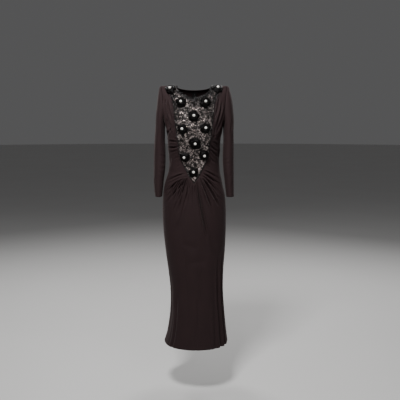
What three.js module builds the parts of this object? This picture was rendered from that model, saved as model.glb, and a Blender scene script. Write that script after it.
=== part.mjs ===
// Long-sleeved evening gown of black jersey with an embroidered bib, in the form it has when worn.
// Millimetres, +Z up, the front faces -Y. The origin lies between the shoulders, at the height of
// the shoulder seams. Every cloth piece is a thin wall whose outer face follows one gown surface.
import * as THREE from 'three';

// Driving dimensions
const WALL = 1.8;                 // thickness of the jersey
const SEAM_GAP = 0.36;            // between two pieces that are sewn together
const HEM = -1270;                // height of the skirt's hem
const CUFF = -533;                // height of the sleeves' cuffs
const UNDERARM = -190;            // height of the armhole's lowest point
const SHOULDER_TIP = 158;         // armhole's highest point, from the middle
const NECK_SIDE = 85;             // half width of the neck opening at the shoulder
const NECK_FRONT = 57;            // drop of the neckline in front
const NECK_NOTCH = 6;             // extra drop of the small notch in the middle
const NOTCH_HALF = 15;
const NECK_BACK = 18;             // drop of the neckline behind
const WAIST_INNER = -428;         // waist seam where it leaves the bib's point
const WAIST_SIDE = -472;          // waist seam at the side seams
const WAIST_BACK = -478;          // waist seam at the centre back
const BIB_TIP = -463;             // lowest point of the bib
const SQUARENESS = 0.06;          // how far the body's rings are fuller than an ellipse
const BUST = { lift: 9, across: 72, height: -232, halfWide: 46, halfHigh: 60 };

// Rings of the gown: half widths to the wearer's two sides, and depths before and behind y = 0.
// Above the underarm the rings run on past the armhole, which cuts them.
const RINGS = [
  { z: 0, left: 190, right: 190, front: 0, back: 0 },
  { z: -15, left: 188, right: 188, front: 42, back: 48 },
  { z: -30, left: 185, right: 185, front: 58, back: 65 },
  { z: -60, left: 180, right: 180, front: 76, back: 84 },
  { z: -100, left: 172, right: 172, front: 92, back: 96 },
  { z: -150, left: 154, right: 154, front: 106, back: 102 },
  { z: -190, left: 139, right: 139, front: 114, back: 102 },
  { z: -240, left: 131, right: 130, front: 116, back: 98 },
  { z: -300, left: 127, right: 126, front: 102, back: 88 },
  { z: -357, left: 122, right: 122.5, front: 88, back: 80 },
  { z: -406, left: 125, right: 125.5, front: 86, back: 84 },
  { z: -431, left: 132, right: 129.5, front: 88, back: 89 },
  { z: -480, left: 147, right: 140, front: 95, back: 101 },
  { z: -530, left: 153, right: 151, front: 101, back: 110 },
  { z: -605, left: 156, right: 156, front: 106, back: 116 },
  { z: -705, left: 152, right: 156, front: 108, back: 112 },
  { z: -807, left: 142, right: 152, front: 109, back: 107 },
  { z: -909, left: 129, right: 145, front: 112, back: 104 },
  { z: -1012, left: 119.5, right: 144, front: 120, back: 107 },
  { z: -1116, left: 122, right: 151, front: 134, back: 115 },
  { z: -1220, left: 137, right: 161.5, front: 148, back: 126 },
  { z: -1270, left: 152, right: 168, front: 156, back: 133 },
];

// Half width of the bib, from the shoulder seam down to where it turns in to its point.
const BIB_EDGE = [
  { z: 0, half: 133 },
  { z: -30, half: 119 },
  { z: -60, half: 107 },
  { z: -95, half: 99 },
  { z: -140, half: 93.5 },
  { z: -190, half: 89 },
  { z: -235, half: 82 },
  { z: -284, half: 74.5 },
  { z: -325, half: 70 },
  { z: -358, half: 62 },
];
const BIB_TURN = { x: 62, z: -358 };     // where the side edge ends and the point begins
const BIB_WAIST = { x: 26, z: WAIST_INNER };
const BIB_ROWS = 13;
const ROW_CROWDING = 0.75;               // below 1, rows lie closer together towards the shoulder
const WING_COLUMNS = 3;                  // from the bib's outer corner to the side of the neck
const NECK_COLUMNS = 5;                  // from there to the middle of the neckline
const POINT_COLUMNS = 4;                 // on each straight stretch of the bib's point

const ARMHOLE_STEPS = [0, 0.16, 0.32, 0.48, 0.64, 0.78, 0.89, 0.965, 1];
const ARMHOLE_ROUNDING = 8;              // how late the armhole turns in to the side seam
const SIDE_SEAM_ROWS = 9;
const BACK_COLUMNS = 8;

// The skirt's grid lines leave the top edge close together and fan out: c runs from the middle to
// the side seam, x is where a line starts on the bib's point or on the waist seam.
const SKIRT_FAN = [
  { c: 0, x: 0 },
  { c: 0.15, x: 14 },
  { c: 0.27, x: 26 },
  { c: 0.44, x: 34 },
  { c: 0.55, x: 41 },
  { c: 0.68, x: 51 },
  { c: 0.8, x: 61 },
  { c: 0.87, x: 74 },
  { c: 0.92, x: 93 },
  { c: 0.96, x: 116 },
];
const SKIRT_COLUMNS = [
  0, 0.06, 0.11, 0.15, 0.19, 0.23, 0.27, 0.335, 0.4, 0.44, 0.48, 0.515,
  0.55, 0.585, 0.635, 0.68, 0.725, 0.8, 0.835, 0.87, 0.92, 0.96, 1,
];
const SKIRT_ROWS = [0, 0.015, 0.04, 0.08, 0.13, 0.19, 0.27, 0.36, 0.46, 0.56, 0.66, 0.76, 0.86, 0.94, 1];
const SIDE_FRONT_LINES = [0.27, 0.44, 0.55, 0.68, 0.8, 0.87, 0.92, 0.96, 1];
const FAN_DROP = { middle: 200, side: 60 };   // how far below the seam a line has fanned out

// Folds of the front skirt: place c, half width in c, depth, and where each begins and ends as a
// drop below the top edge. The first rows are gathers from the bib's point, the last hang low.
const SKIRT_FOLDS = [
  { c: 0.23, width: 0.034, depth: 6.5, from: 0, to: 270 },
  { c: 0.335, width: 0.03, depth: 3, from: 0, to: 110 },
  { c: 0.44, width: 0.034, depth: 5.5, from: 0, to: 200 },
  { c: 0.55, width: 0.03, depth: 4.5, from: 0, to: 130 },
  { c: 0.68, width: 0.034, depth: 5, from: 0, to: 170 },
  { c: 0.835, width: 0.03, depth: 4.5, from: 0, to: 90 },
  { c: -0.15, width: 0.034, depth: 4, from: 0, to: 150 },
  { c: -0.335, width: 0.03, depth: 4.5, from: 0, to: 210 },
  { c: -0.48, width: 0.034, depth: 5, from: 0, to: 180 },
  { c: -0.635, width: 0.034, depth: 5, from: 0, to: 190 },
  { c: -0.835, width: 0.03, depth: 4.5, from: 0, to: 120 },
  { c: 0.55, width: 0.034, depth: 6, from: 400, to: 800 },
  { c: 0.7, width: 0.034, depth: 5, from: 380, to: 790 },
  { c: 0.335, width: 0.034, depth: 4, from: 640, to: 870 },
  { c: -0.515, width: 0.036, depth: 3.5, from: 560, to: 840 },
];

// Long drags of the side fronts, from the armhole and the bib's edge towards the waist:
// u runs from the bib to the side, v from the shoulder to the waist.
const BODICE_DRAGS = [
  { side: 1, u: 0.7, v: 0.34, slant: -0.9, width: 0.11, length: 0.2, depth: 2.6 },
  { side: 1, u: 0.4, v: 0.36, slant: -0.9, width: 0.11, length: 0.17, depth: 2 },
  { side: -1, u: 0.6, v: 0.3, slant: -0.5, width: 0.12, length: 0.18, depth: 2.2 },
  { side: -1, u: 0.5, v: 0.6, slant: 3, width: 0.12, length: 0.05, depth: 2 },
];

// Rings of the sleeves below the armhole: places of the outer and inner edges from the middle,
// half depth and the place of the ring's middle before or behind y = 0.
const SLEEVE_RINGS = [
  { z: -215, leftOuter: 189.5, rightOuter: 192.2, inner: 141.5, halfDeep: 52, y: 0 },
  { z: -260, leftOuter: 193, rightOuter: 193.2, inner: 142, halfDeep: 48, y: -2 },
  { z: -308, leftOuter: 195, rightOuter: 193.8, inner: 140, halfDeep: 45, y: -5 },
  { z: -357, leftOuter: 196, rightOuter: 193.5, inner: 139.5, halfDeep: 43, y: -9 },
  { z: -406, leftOuter: 196.5, rightOuter: 193.5, inner: 142, halfDeep: 41, y: -14 },
  { z: -456, leftOuter: 196.5, rightOuter: 193.5, inner: 148, halfDeep: 38, y: -19 },
  { z: -505, leftOuter: 194.3, rightOuter: 194, inner: 153.5, halfDeep: 35, y: -24 },
  { z: CUFF, leftOuter: 190.5, rightOuter: 194.5, inner: 156, halfDeep: 33, y: -27 },
];
const CAP_STEPS = [0, 0.1, 0.24, 0.4, 0.58, 0.78, 1];
const CAP = { start: 0.7, reach: 15, rise: 4, fullness: 7, drop: 0.52, leftSlack: -7, rightSlack: 5 };

// Fabric flowers: place on the gown, radius and turn of the petals.
const FLOWERS = [
  { x: -113, z: -20, radius: 27, turn: 10 },
  { x: 113, z: -17, radius: 27, turn: 40 },
  { x: -60, z: -80, radius: 28, turn: 25 },
  { x: 54, z: -80, radius: 29, turn: 55 },
  { x: 0, z: -145, radius: 30, turn: 5 },
  { x: -53, z: -205, radius: 27, turn: 48 },
  { x: 53, z: -201, radius: 27, turn: 20 },
  { x: 6, z: -270, radius: 32, turn: 32 },
  { x: -44, z: -336, radius: 26.5, turn: 12 },
  { x: 47, z: -328, radius: 27, turn: 60 },
  { x: -2, z: -409, radius: 26, turn: 38 },
];
const FLOWER = { petals: 5, sides: 16, gap: 0.9, notch: 0.1, seat: 7, seatHeight: 7, rim: 2.4 };
const FLOWER_CREST = { at: 0.55, height: 12.5 };
const FLOWER_SLOPE = { at: 0.82, height: 9 };
const PEARL_RADIUS = 6.4;
const SHOULDER_FLOWER = -30;             // a flower above this height lies over the shoulder
const FACING_FRONT = -0.2;               // a face counts as a front one where its normal's y is less

// Concealed zip at the centre back, its slider and its pull tab.
const ZIP_HALF_WIDTH = 12;
const ZIP_TAPE = { thickness: 1, gap: 0.7 };
const ZIP_SKIRT_ROWS = 4;                // the tape ends at this row of the back skirt
const SLIDER = {
  height: -32, length: 9, width: 3, plate: 1.5, shoulder: 1.1, gap: 0.5, wall: 1, slot: 4, rise: 2,
};
const PULL = { width: 7, length: 24, thickness: 1.1, bar: 1.1, eyeWidth: 4, eyeLength: 3.2 };

const DEGREE = Math.PI / 180;
const SIDE = 90 * DEGREE;               // angle of the side seam

const jersey = () => new THREE.MeshStandardMaterial({ color: 0x241d1f, roughness: 0.82, metalness: 0 });
const embroidery = () => new THREE.MeshStandardMaterial({ color: 0x2d2d31, roughness: 0.5, metalness: 0.3 });
const petalCloth = () => new THREE.MeshStandardMaterial({ color: 0x141214, roughness: 0.6, metalness: 0 });
const pearl = () => new THREE.MeshStandardMaterial({ color: 0xe9e6df, roughness: 0.25, metalness: 0 });
const tapeCloth = () => new THREE.MeshStandardMaterial({ color: 0x1c181a, roughness: 0.8, metalness: 0 });
const metal = () => new THREE.MeshStandardMaterial({ color: 0x2a2829, roughness: 0.4, metalness: 0.7 });

// Smooth value of a table column between its rows, as a cubic with slopes taken from neighbours.
function smoothColumn(rows, place, key, at) {
  const count = rows.length;
  let i = 0;
  while (i < count - 2 && at > place(rows[i + 1])) i += 1;
  const slope = (k) => {
    const low = Math.max(k - 1, 0);
    const high = Math.min(k + 1, count - 1);
    return (rows[high][key] - rows[low][key]) / (place(rows[high]) - place(rows[low]));
  };
  const span = place(rows[i + 1]) - place(rows[i]);
  const f = Math.min(Math.max((at - place(rows[i])) / span, 0), 1);
  const start = (1 + 2 * f) * (1 - f) * (1 - f);
  const rest = f * f * (3 - 2 * f);
  const bend = f * (1 - f) * span;
  return start * rows[i][key] + rest * rows[i + 1][key]
    + bend * ((1 - f) * slope(i) - f * slope(i + 1));
}

const rootOfDrop = (row) => Math.sqrt(-row.z);
const ringValue = (key, depth) => smoothColumn(RINGS, rootOfDrop, key, Math.abs(depth));

// One ring of the gown. Depth is the square root of the drop below the shoulder line, which keeps
// the surface round over the shoulders; a negative depth is the back.
function ringAt(depth) {
  const left = ringValue('left', depth);
  const right = ringValue('right', depth);
  return { middle: (right - left) / 2, half: (right + left) / 2 };
}

// A point of the gown surface: angle 0 is the middle, +90 degrees the side seam at +X.
function gownPoint(angle, depth) {
  const { middle, half } = ringAt(depth);
  const s = Math.sin(angle);
  const c = Math.cos(angle);
  const x = middle + half * s * (1 + SQUARENESS * c * c);
  const z = -depth * depth;
  const away = ringValue(depth < 0 ? 'back' : 'front', depth) * c * (1 + SQUARENESS * s * s);
  if (depth < 0) return new THREE.Vector3(x, away, z);
  const acrossBust = (Math.abs(x) - BUST.across) / BUST.halfWide;
  const upBust = (z - BUST.height) / BUST.halfHigh;
  const bust = BUST.lift * Math.exp(-acrossBust * acrossBust - upBust * upBust);
  return new THREE.Vector3(x, -away - bust * c, z);
}

// Outward direction of the gown surface, from two short steps along it.
function gownNormal(angle, depth) {
  const step = 1e-3;
  const across = gownPoint(angle + step, depth).sub(gownPoint(angle - step, depth));
  const down = gownPoint(angle, depth + step).sub(gownPoint(angle, depth - step));
  return down.cross(across).normalize();
}

const lifted = (angle, depth, lift) =>
  gownPoint(angle, depth).addScaledVector(gownNormal(angle, depth), lift);

// Angle at which the ring at height z passes the place x.
function angleOf(x, z) {
  const { middle, half } = ringAt(Math.sqrt(-z));
  let angle = 0;
  for (let turn = 0; turn < 12; turn += 1) {
    const c = Math.cos(angle);
    const sine = (x - middle) / (half * (1 + SQUARENESS * c * c));
    angle = Math.asin(Math.min(Math.max(sine, -1), 1));
  }
  return angle;
}

const spot = (x, z) => [angleOf(x, z), Math.sqrt(-z)];
const mix = (a, b, f) => a + (b - a) * f;
const steps = (count) => Array.from({ length: count + 1 }, (_, i) => i / count);

// The same line on the -X side: at the same distance from the middle plane, or on the side seam.
const mirrored = (line) => line.map(([angle, depth]) =>
  (angle === SIDE ? [-SIDE, depth] : spot(-gownPoint(angle, depth).x, -depth * depth)));

// Grid of places between four edge lines: the sum of the two ruled surfaces less the corners.
function betweenEdges(top, bottom, inner, outer) {
  const columns = top.length - 1;
  const rows = inner.length - 1;
  return inner.map((_, j) => top.map((__, i) => {
    const u = i / columns;
    const v = j / rows;
    return [0, 1].map((k) => mix(top[i][k], bottom[i][k], v) + mix(inner[j][k], outer[j][k], u)
      - mix(mix(top[0][k], top[columns][k], u), mix(bottom[0][k], bottom[columns][k], u), v));
  }));
}

// Two faces of a wall: the outer one lifted off the gown surface, the inner one a wall deeper.
// Each edge is drawn back by half the seam gap.
function wallFaces(grid, lift, thickness, trim) {
  const rows = grid.length - 1;
  const columns = grid[0].length - 1;
  const face = (extra) => grid.map((row, j) => row.map(([angle, depth], i) =>
    lifted(angle, depth, lift(i, j) + extra)));
  return [face(0), face(-thickness)].map((points) => points.map((row, j) => row.map((point, i) => {
    const moved = point.clone();
    const pull = (other) => moved.addScaledVector(other.clone().sub(point).normalize(), trim);
    if (i === 0) pull(row[1]);
    if (i === columns) pull(row[columns - 1]);
    if (j === 0) pull(points[1][i]);
    if (j === rows) pull(points[rows - 1][i]);
    return moved;
  })));
}

// Closed mesh from two matching faces of points, each four of them split along the shorter way.
// A tube has its last column joined to its first.
function closedWall(outer, inner, isTube) {
  const rows = outer.length;
  const columns = outer[0].length;
  const positions = [];
  [outer, inner].flat(2).forEach((p) => positions.push(p.x, p.y, p.z));
  const at = (side, j, i) => side * rows * columns + j * columns + (i % columns);
  const last = columns - 1;
  const faces = [];
  const corner = (k) => new THREE.Vector3().fromArray(positions, 3 * k);
  const apart = (a, b) => corner(a).distanceTo(corner(b));
  const quad = (a, b, c, d) => (apart(a, c) < apart(b, d)
    ? faces.push(a, b, c, a, c, d)
    : faces.push(b, c, d, b, d, a));
  const cells = isTube ? columns : last;
  for (let j = 0; j < rows - 1; j += 1) {
    for (let i = 0; i < cells; i += 1) {
      quad(at(0, j, i), at(0, j + 1, i), at(0, j + 1, i + 1), at(0, j, i + 1));
      quad(at(1, j, i), at(1, j, i + 1), at(1, j + 1, i + 1), at(1, j + 1, i));
    }
    if (!isTube) {
      quad(at(0, j, 0), at(1, j, 0), at(1, j + 1, 0), at(0, j + 1, 0));
      quad(at(0, j, last), at(0, j + 1, last), at(1, j + 1, last), at(1, j, last));
    }
  }
  for (let i = 0; i < cells; i += 1) {
    quad(at(0, 0, i), at(0, 0, i + 1), at(1, 0, i + 1), at(1, 0, i));
    quad(at(0, rows - 1, i), at(1, rows - 1, i), at(1, rows - 1, i + 1), at(0, rows - 1, i + 1));
  }
  return facingOut(positions, faces);
}

// Geometry from points and faces, with the faces turned round where they would enclose less than
// nothing.
function facingOut(positions, faces) {
  const corner = (k) => new THREE.Vector3().fromArray(positions, 3 * k);
  let volume = 0;
  for (let k = 0; k < faces.length; k += 3) {
    volume += corner(faces[k]).dot(corner(faces[k + 1]).cross(corner(faces[k + 2])));
  }
  const turned = volume < 0 ? faces.map((_, k) => faces[k - (k % 3) + [0, 2, 1][k % 3]]) : faces;
  const geometry = new THREE.BufferGeometry();
  geometry.setAttribute('position', new THREE.Float32BufferAttribute(positions, 3));
  geometry.setIndex(turned);
  geometry.computeVertexNormals();
  return geometry;
}

function named(name, geometry, material) {
  const mesh = new THREE.Mesh(geometry, material);
  mesh.name = name;
  return mesh;
}

function clothPanel(name, grid, lift = () => 0, material = jersey()) {
  const [outer, inner] = wallFaces(grid, lift, WALL, SEAM_GAP / 2);
  return named(name, closedWall(outer, inner, false), material);
}

// Seam lines, each a list of places (angle, depth), all on the +X side.

// Neckline in front, from the shoulder to the middle: a rounded scoop with a small notch.
function frontNeckline() {
  return steps(NECK_COLUMNS).map((f) => {
    const across = Math.cos(f * 90 * DEGREE);
    const x = NECK_SIDE * across;
    const scoop = NECK_FRONT * (1 - across ** 2.2) ** 0.62;
    const notch = NECK_NOTCH * Math.exp(-((x / NOTCH_HALF) ** 2));
    return f === 0 ? spot(x, 0) : spot(x, -scoop - notch);
  });
}

const shoulderSeam = (fromX, toX, count) => steps(count).map((f) => spot(mix(fromX, toX, f), 0));

// The bib's outer edge down to its turn.
function bibSideEdge() {
  const lowest = Math.sqrt(-BIB_TURN.z);
  return steps(BIB_ROWS).map((f) => {
    const depth = f ** ROW_CROWDING * lowest;
    return spot(smoothColumn(BIB_EDGE, rootOfDrop, 'half', depth), -depth * depth);
  });
}

const straight = (from, to, count) =>
  steps(count).map((f) => spot(mix(from.x, to.x, f), mix(from.z, to.z, f)));

const bibPointUpper = () => straight(BIB_TURN, BIB_WAIST, POINT_COLUMNS);
const bibPointLower = () => straight(BIB_WAIST, { x: 0, z: BIB_TIP }, POINT_COLUMNS);

function armholeLine() {
  const lowest = Math.sqrt(-UNDERARM);
  const top = angleOf(SHOULDER_TIP, 0);
  return ARMHOLE_STEPS.map((f) => [f === 1 ? SIDE : mix(top, SIDE, f ** ARMHOLE_ROUNDING), f * lowest]);
}

const sideSeam = (fromZ, toZ, count) =>
  steps(count).map((f) => [SIDE, mix(Math.sqrt(-fromZ), Math.sqrt(-toZ), f)]);

// Height of the waist seam in front, which falls from the bib's point to the side seam.
function waistHeight(x, sideX) {
  const f = (Math.abs(x) - BIB_WAIST.x) / (sideX - BIB_WAIST.x);
  return mix(WAIST_INNER, WAIST_SIDE, Math.max(f, 0) ** 1.2);
}

const sideHalf = (side) => Math.abs(gownPoint(side * SIDE, Math.sqrt(-WAIST_SIDE)).x);

// A place on the front waist seam at x, on the side given.
function waistSpot(x, side) {
  const edge = sideHalf(side);
  return x >= edge ? [side * SIDE, Math.sqrt(-WAIST_SIDE)] : spot(side * x, waistHeight(x, edge));
}

function bib() {
  const side = bibSideEdge();
  const wing = shoulderSeam(NECK_SIDE, BIB_EDGE[0].half, WING_COLUMNS);
  const rightTop = [...frontNeckline().reverse(), ...wing.slice(1)];
  const rightBottom = [...bibPointLower().reverse(), ...bibPointUpper().reverse().slice(1)];
  const whole = (line) => [...mirrored(line).reverse(), ...line.slice(1)];
  const grid = betweenEdges(whole(rightTop), whole(rightBottom), mirrored(side), side);
  return clothPanel('bib', grid, () => 0, embroidery());
}

function dragLift(side, u, v) {
  return BODICE_DRAGS.filter((drag) => drag.side === side).reduce((sum, drag) => {
    const along = (v - drag.v) / drag.length;
    const off = (u - drag.u - drag.slant * (v - drag.v)) / drag.width;
    return sum - drag.depth * Math.exp(-off * off - along * along);
  }, 0);
}

function sideFront(side) {
  const placed = (line) => (side < 0 ? mirrored(line) : line);
  const columns = SIDE_FRONT_LINES.length - 1;
  const inner = [...bibSideEdge(), ...bibPointUpper().slice(1)];
  const outer = [...armholeLine(), ...sideSeam(UNDERARM, WAIST_SIDE, SIDE_SEAM_ROWS).slice(1)];
  const top = shoulderSeam(BIB_EDGE[0].half, SHOULDER_TIP, columns);
  const waist = SIDE_FRONT_LINES.map((c) => skirtStart(c, side));
  const grid = betweenEdges(placed(top), waist, placed(inner), placed(outer));
  const rows = inner.length - 1;
  const lift = (i, j) => dragLift(side, i / columns, j / rows) * Math.sin(Math.PI * i / columns);
  return clothPanel(side < 0 ? 'side_front_left' : 'side_front_right', grid, lift);
}

// The back's lines have a negative depth; its inner line is the centre back.
const behind = (line) => line.map(([angle, depth]) => [angle, -depth]);

function backNeckline() {
  return steps(NECK_COLUMNS).map((f) => {
    const x = NECK_SIDE * Math.sin(f * 90 * DEGREE);
    return f === 1 ? spot(x, 0) : spot(x, -NECK_BACK * Math.cos(f * 90 * DEGREE));
  });
}

const backWaist = () => steps(BACK_COLUMNS).map((f) =>
  [f * SIDE, Math.sqrt(-mix(WAIST_BACK, WAIST_SIDE, f * f))]);

const centreBack = (fromZ, toZ, count) =>
  steps(count).map((f) => [0, mix(Math.sqrt(-fromZ), Math.sqrt(-toZ), f)]);

const BACK_ROWS = ARMHOLE_STEPS.length - 1 + SIDE_SEAM_ROWS;

function bodiceBack(side) {
  const shoulder = shoulderSeam(NECK_SIDE, SHOULDER_TIP, BACK_COLUMNS - NECK_COLUMNS);
  const top = [...backNeckline(), ...shoulder.slice(1)];
  const outer = [...armholeLine(), ...sideSeam(UNDERARM, WAIST_SIDE, SIDE_SEAM_ROWS).slice(1)];
  const grid = betweenEdges(top, backWaist(), centreBack(-NECK_BACK, WAIST_BACK, BACK_ROWS), outer);
  const placed = grid.map((row) => behind(row.map(([angle, depth]) => [side * angle, depth])));
  return clothPanel(side < 0 ? 'bodice_back_left' : 'bodice_back_right', placed);
}

// Where a grid line of the front skirt starts, as a place on the bib's point or the waist seam.
function skirtStart(c, side) {
  const along = Math.abs(c);
  if (along === 1) return waistSpot(Infinity, side);
  const rows = [...SKIRT_FAN, { c: 1, x: sideHalf(side) }];
  const x = smoothColumn(rows, (row) => row.c, 'x', along);
  if (x > BIB_WAIST.x) return waistSpot(x, side);
  return spot(side * x, mix(BIB_TIP, WAIST_INNER, x / BIB_WAIST.x));
}

// Place of a grid line some way below the top edge. It runs out evenly from its start and then
// hangs straight.
function skirtPlace(c, fall) {
  const side = c < 0 ? -1 : 1;
  const [startAngle, startDepth] = skirtStart(c, side);
  const height = mix(-startDepth * startDepth, HEM, fall);
  const drop = -startDepth * startDepth - height;
  const reach = drop / mix(FAN_DROP.middle, FAN_DROP.side, Math.abs(c) ** 3);
  const fanned = reach / (1 + reach ** 4) ** 0.25;
  return { angle: mix(startAngle, c * SIDE, fanned), depth: Math.sqrt(-height), drop };
}

// A fold is a valley between two lower ridges, soft at both ends.
function foldLift(c, drop) {
  return SKIRT_FOLDS.reduce((sum, fold) => {
    const off = (c - fold.c) / fold.width;
    const hill = (at) => Math.exp(-((off - at) ** 2));
    const shape = 0.5 * hill(1.5) + 0.5 * hill(-1.5) - hill(0);
    const span = fold.to - fold.from;
    const within = (share) => Math.max(Math.min(share, 1), 0);
    const opening = within(fold.from === 0 ? 0.35 + drop / 40 : (drop - fold.from) / 120);
    const closing = within((fold.to - drop) / (0.6 * span));
    return sum + fold.depth * shape * opening * closing;
  }, 0);
}

function skirtFront() {
  const lines = [...SKIRT_COLUMNS.slice(1).reverse().map((c) => -c), ...SKIRT_COLUMNS];
  const places = SKIRT_ROWS.map((fall) => lines.map((c) => skirtPlace(c, fall)));
  const grid = places.map((row) => row.map(({ angle, depth }) => [angle, depth]));
  const seamSide = (i) => Math.min(1, 6 * (1 - Math.abs(lines[i])));
  const lift = (i, j) => foldLift(lines[i], places[j][i].drop) * seamSide(i);
  return clothPanel('skirt_front', grid, lift);
}

function skirtBack(side) {
  const top = backWaist();
  const grid = SKIRT_ROWS.map((fall) => top.map(([angle, depth]) =>
    [side * angle, -Math.sqrt(-mix(-depth * depth, HEM, fall))]));
  return clothPanel(side < 0 ? 'skirt_back_left' : 'skirt_back_right', grid);
}

// A ring of the sleeve at height z: angle 0 is the outer edge, 90 degrees the front.
function sleevePoint(side, z, around) {
  const value = (key) => smoothColumn(SLEEVE_RINGS, (row) => -row.z, key, -z);
  const outer = value(side < 0 ? 'leftOuter' : 'rightOuter');
  const inner = value('inner');
  const x = (outer + inner) / 2 + (outer - inner) / 2 * Math.cos(around);
  return new THREE.Vector3(side * x, value('y') - value('halfDeep') * Math.sin(around), z);
}

// The armhole as a closed ring of points, from the shoulder tip round the front and back up.
function armholeRing(side) {
  const front = armholeLine();
  const back = behind(front.slice(1, -1).reverse());
  return [...front, ...back].map(([angle, depth]) => {
    const point = gownPoint(side * angle, depth);
    point.x += side * CAP.start;
    return point;
  });
}

// One line of the sleeve's cap: a curve that leaves the armhole outwards and ends hanging down.
function capLine(side, start, around) {
  const end = sleevePoint(side, SLEEVE_RINGS[0].z, around);
  const share = (start.z - UNDERARM) / -UNDERARM;
  const slack = side < 0 ? CAP.leftSlack : CAP.rightSlack;
  const forward = -Math.sin(around);
  const leave = start.clone().add(new THREE.Vector3(
    side * (0.8 + CAP.reach * share),
    forward * CAP.fullness * share,
    CAP.rise * share - 6 * (1 - share),
  ));
  const arrive = end.clone().add(new THREE.Vector3(
    side * slack * share * Math.max(Math.cos(around), 0),
    forward * CAP.fullness * share,
    CAP.drop * (start.z - end.z),
  ));
  const curve = new THREE.CubicBezierCurve3(start, leave, arrive, end);
  return CAP_STEPS.map((f) => curve.getPoint(f));
}

function sleeve(side) {
  const ring = armholeRing(side);
  const around = ring.map((_, k) => k * 360 * DEGREE / ring.length);
  const lines = ring.map((start, k) => [
    ...capLine(side, start, around[k]),
    ...SLEEVE_RINGS.slice(1).map((row) => sleevePoint(side, row.z, around[k])),
  ]);
  const outer = lines[0].map((_, j) => lines.map((line) => line[j]));
  const rows = outer.length;
  const columns = ring.length;
  const inner = outer.map((row, j) => row.map((point, i) => {
    const across = row[(i + 1) % columns].clone().sub(row[(i + columns - 1) % columns]);
    const down = outer[Math.min(j + 1, rows - 1)][i].clone().sub(outer[Math.max(j - 1, 0)][i]);
    return point.clone().addScaledVector(across.cross(down).normalize(), -side * WALL);
  }));
  return named(side < 0 ? 'sleeve_left' : 'sleeve_right', closedWall(outer, inner, true), jersey());
}

// The outer triangles of the front panels, which the flowers lie on.
function frontTriangles(panels) {
  return panels.flatMap((panel) => {
    const place = panel.geometry.getAttribute('position');
    const corners = panel.geometry.getIndex().array;
    const triangles = [];
    for (let k = 0; k < corners.length; k += 3) {
      const triangle = new THREE.Triangle();
      triangle.setFromAttributeAndIndices(place, corners[k], corners[k + 1], corners[k + 2]);
      if (triangle.getNormal(new THREE.Vector3()).y < FACING_FRONT) triangles.push(triangle);
    }
    return triangles;
  });
}

// The point straight in front of a gown point, on the triangle that covers it or passes nearest.
function onPanels(triangles, point) {
  const flat = (v) => new THREE.Vector3(v.x, 0, v.z);
  let best = { cover: -Infinity, y: point.y };
  triangles.forEach(({ a, b, c }) => {
    const share = THREE.Triangle.getBarycoord(flat(point), flat(a), flat(b), flat(c), new THREE.Vector3());
    const cover = share === null ? -Infinity : Math.min(share.x, share.y, share.z);
    if (cover > best.cover) best = { cover, y: share.x * a.y + share.y * b.y + share.z * c.y };
  });
  return new THREE.Vector3(point.x, Math.min(best.y, point.y), point.z);
}

// A flower's point: polar place round its middle, laid on the gown and lifted off it.
function flowerPoint(flower, radius, around, height) {
  const [angle, depth] = spot(flower.x, flower.z);
  const step = 1e-3;
  const rate = (byAngle, byDepth) => gownPoint(angle + byAngle, depth + byDepth)
    .distanceTo(gownPoint(angle - byAngle, depth - byDepth)) / (2 * step);
  const acrossScale = rate(step, 0);
  const downScale = rate(0, step);
  const across = radius * Math.cos(around) / acrossScale;
  const down = -radius * Math.sin(around) / downScale;
  if (flower.z > SHOULDER_FLOWER) return lifted(angle + across, depth + down, height);
  const point = onPanels(flower.panels, gownPoint(angle + across, depth + down));
  return point.addScaledVector(gownNormal(angle + across, depth + down), height);
}

const flowerHeart = (flower, height) => flowerPoint(flower, 0, 0, height);

// Five rounded petals round a seat for the pearl. The rings run from the underside's middle out
// to the rim and over the petals to the seat.
function flowerBody(flower) {
  const outline = (around) => {
    const lobe = Math.abs(Math.cos(FLOWER.petals / 2 * (around - flower.turn * DEGREE)));
    return flower.radius * (1 - FLOWER.notch + FLOWER.notch * lobe);
  };
  const rings = [
    (around) => [0.36 * outline(around), 0],
    (around) => [0.7 * outline(around), 0],
    (around) => [outline(around), 0],
    (around) => [outline(around), FLOWER.rim],
    (around) => [FLOWER_SLOPE.at * outline(around), FLOWER_SLOPE.height],
    (around) => [FLOWER_CREST.at * outline(around), FLOWER_CREST.height],
    () => [FLOWER.seat, FLOWER.seatHeight],
  ];
  const positions = [];
  const place = (radius, around, height) => {
    const point = flowerPoint(flower, radius, around, height + FLOWER.gap);
    positions.push(point.x, point.y, point.z);
  };
  rings.forEach((ring) => {
    for (let k = 0; k < FLOWER.sides; k += 1) {
      const around = k * 360 * DEGREE / FLOWER.sides;
      place(ring(around)[0], around, ring(around)[1]);
    }
  });
  place(0, 0, 0);
  place(0, 0, FLOWER.seatHeight);
  const faces = [];
  const under = rings.length * FLOWER.sides;
  for (let k = 0; k < FLOWER.sides; k += 1) {
    const next = (k + 1) % FLOWER.sides;
    faces.push(under, next, k);
    for (let r = 0; r < rings.length - 1; r += 1) {
      const low = r * FLOWER.sides;
      const high = low + FLOWER.sides;
      faces.push(low + k, low + next, high + next, low + k, high + next, high + k);
    }
    const last = (rings.length - 1) * FLOWER.sides;
    faces.push(last + k, last + next, under + 1);
  }
  return facingOut(positions, faces);
}

function flowers(panels) {
  const triangles = frontTriangles(panels);
  return FLOWERS.flatMap((place, k) => {
    const flower = { ...place, panels: triangles };
    const number = String(k + 1).padStart(2, '0');
    const bead = named(`pearl_${number}`, new THREE.SphereGeometry(PEARL_RADIUS, 9, 6), pearl());
    bead.position.copy(flowerHeart(flower, FLOWER.gap + FLOWER.seatHeight + PEARL_RADIUS + SEAM_GAP));
    return [named(`flower_${number}`, flowerBody(flower), petalCloth()), bead];
  });
}

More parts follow.
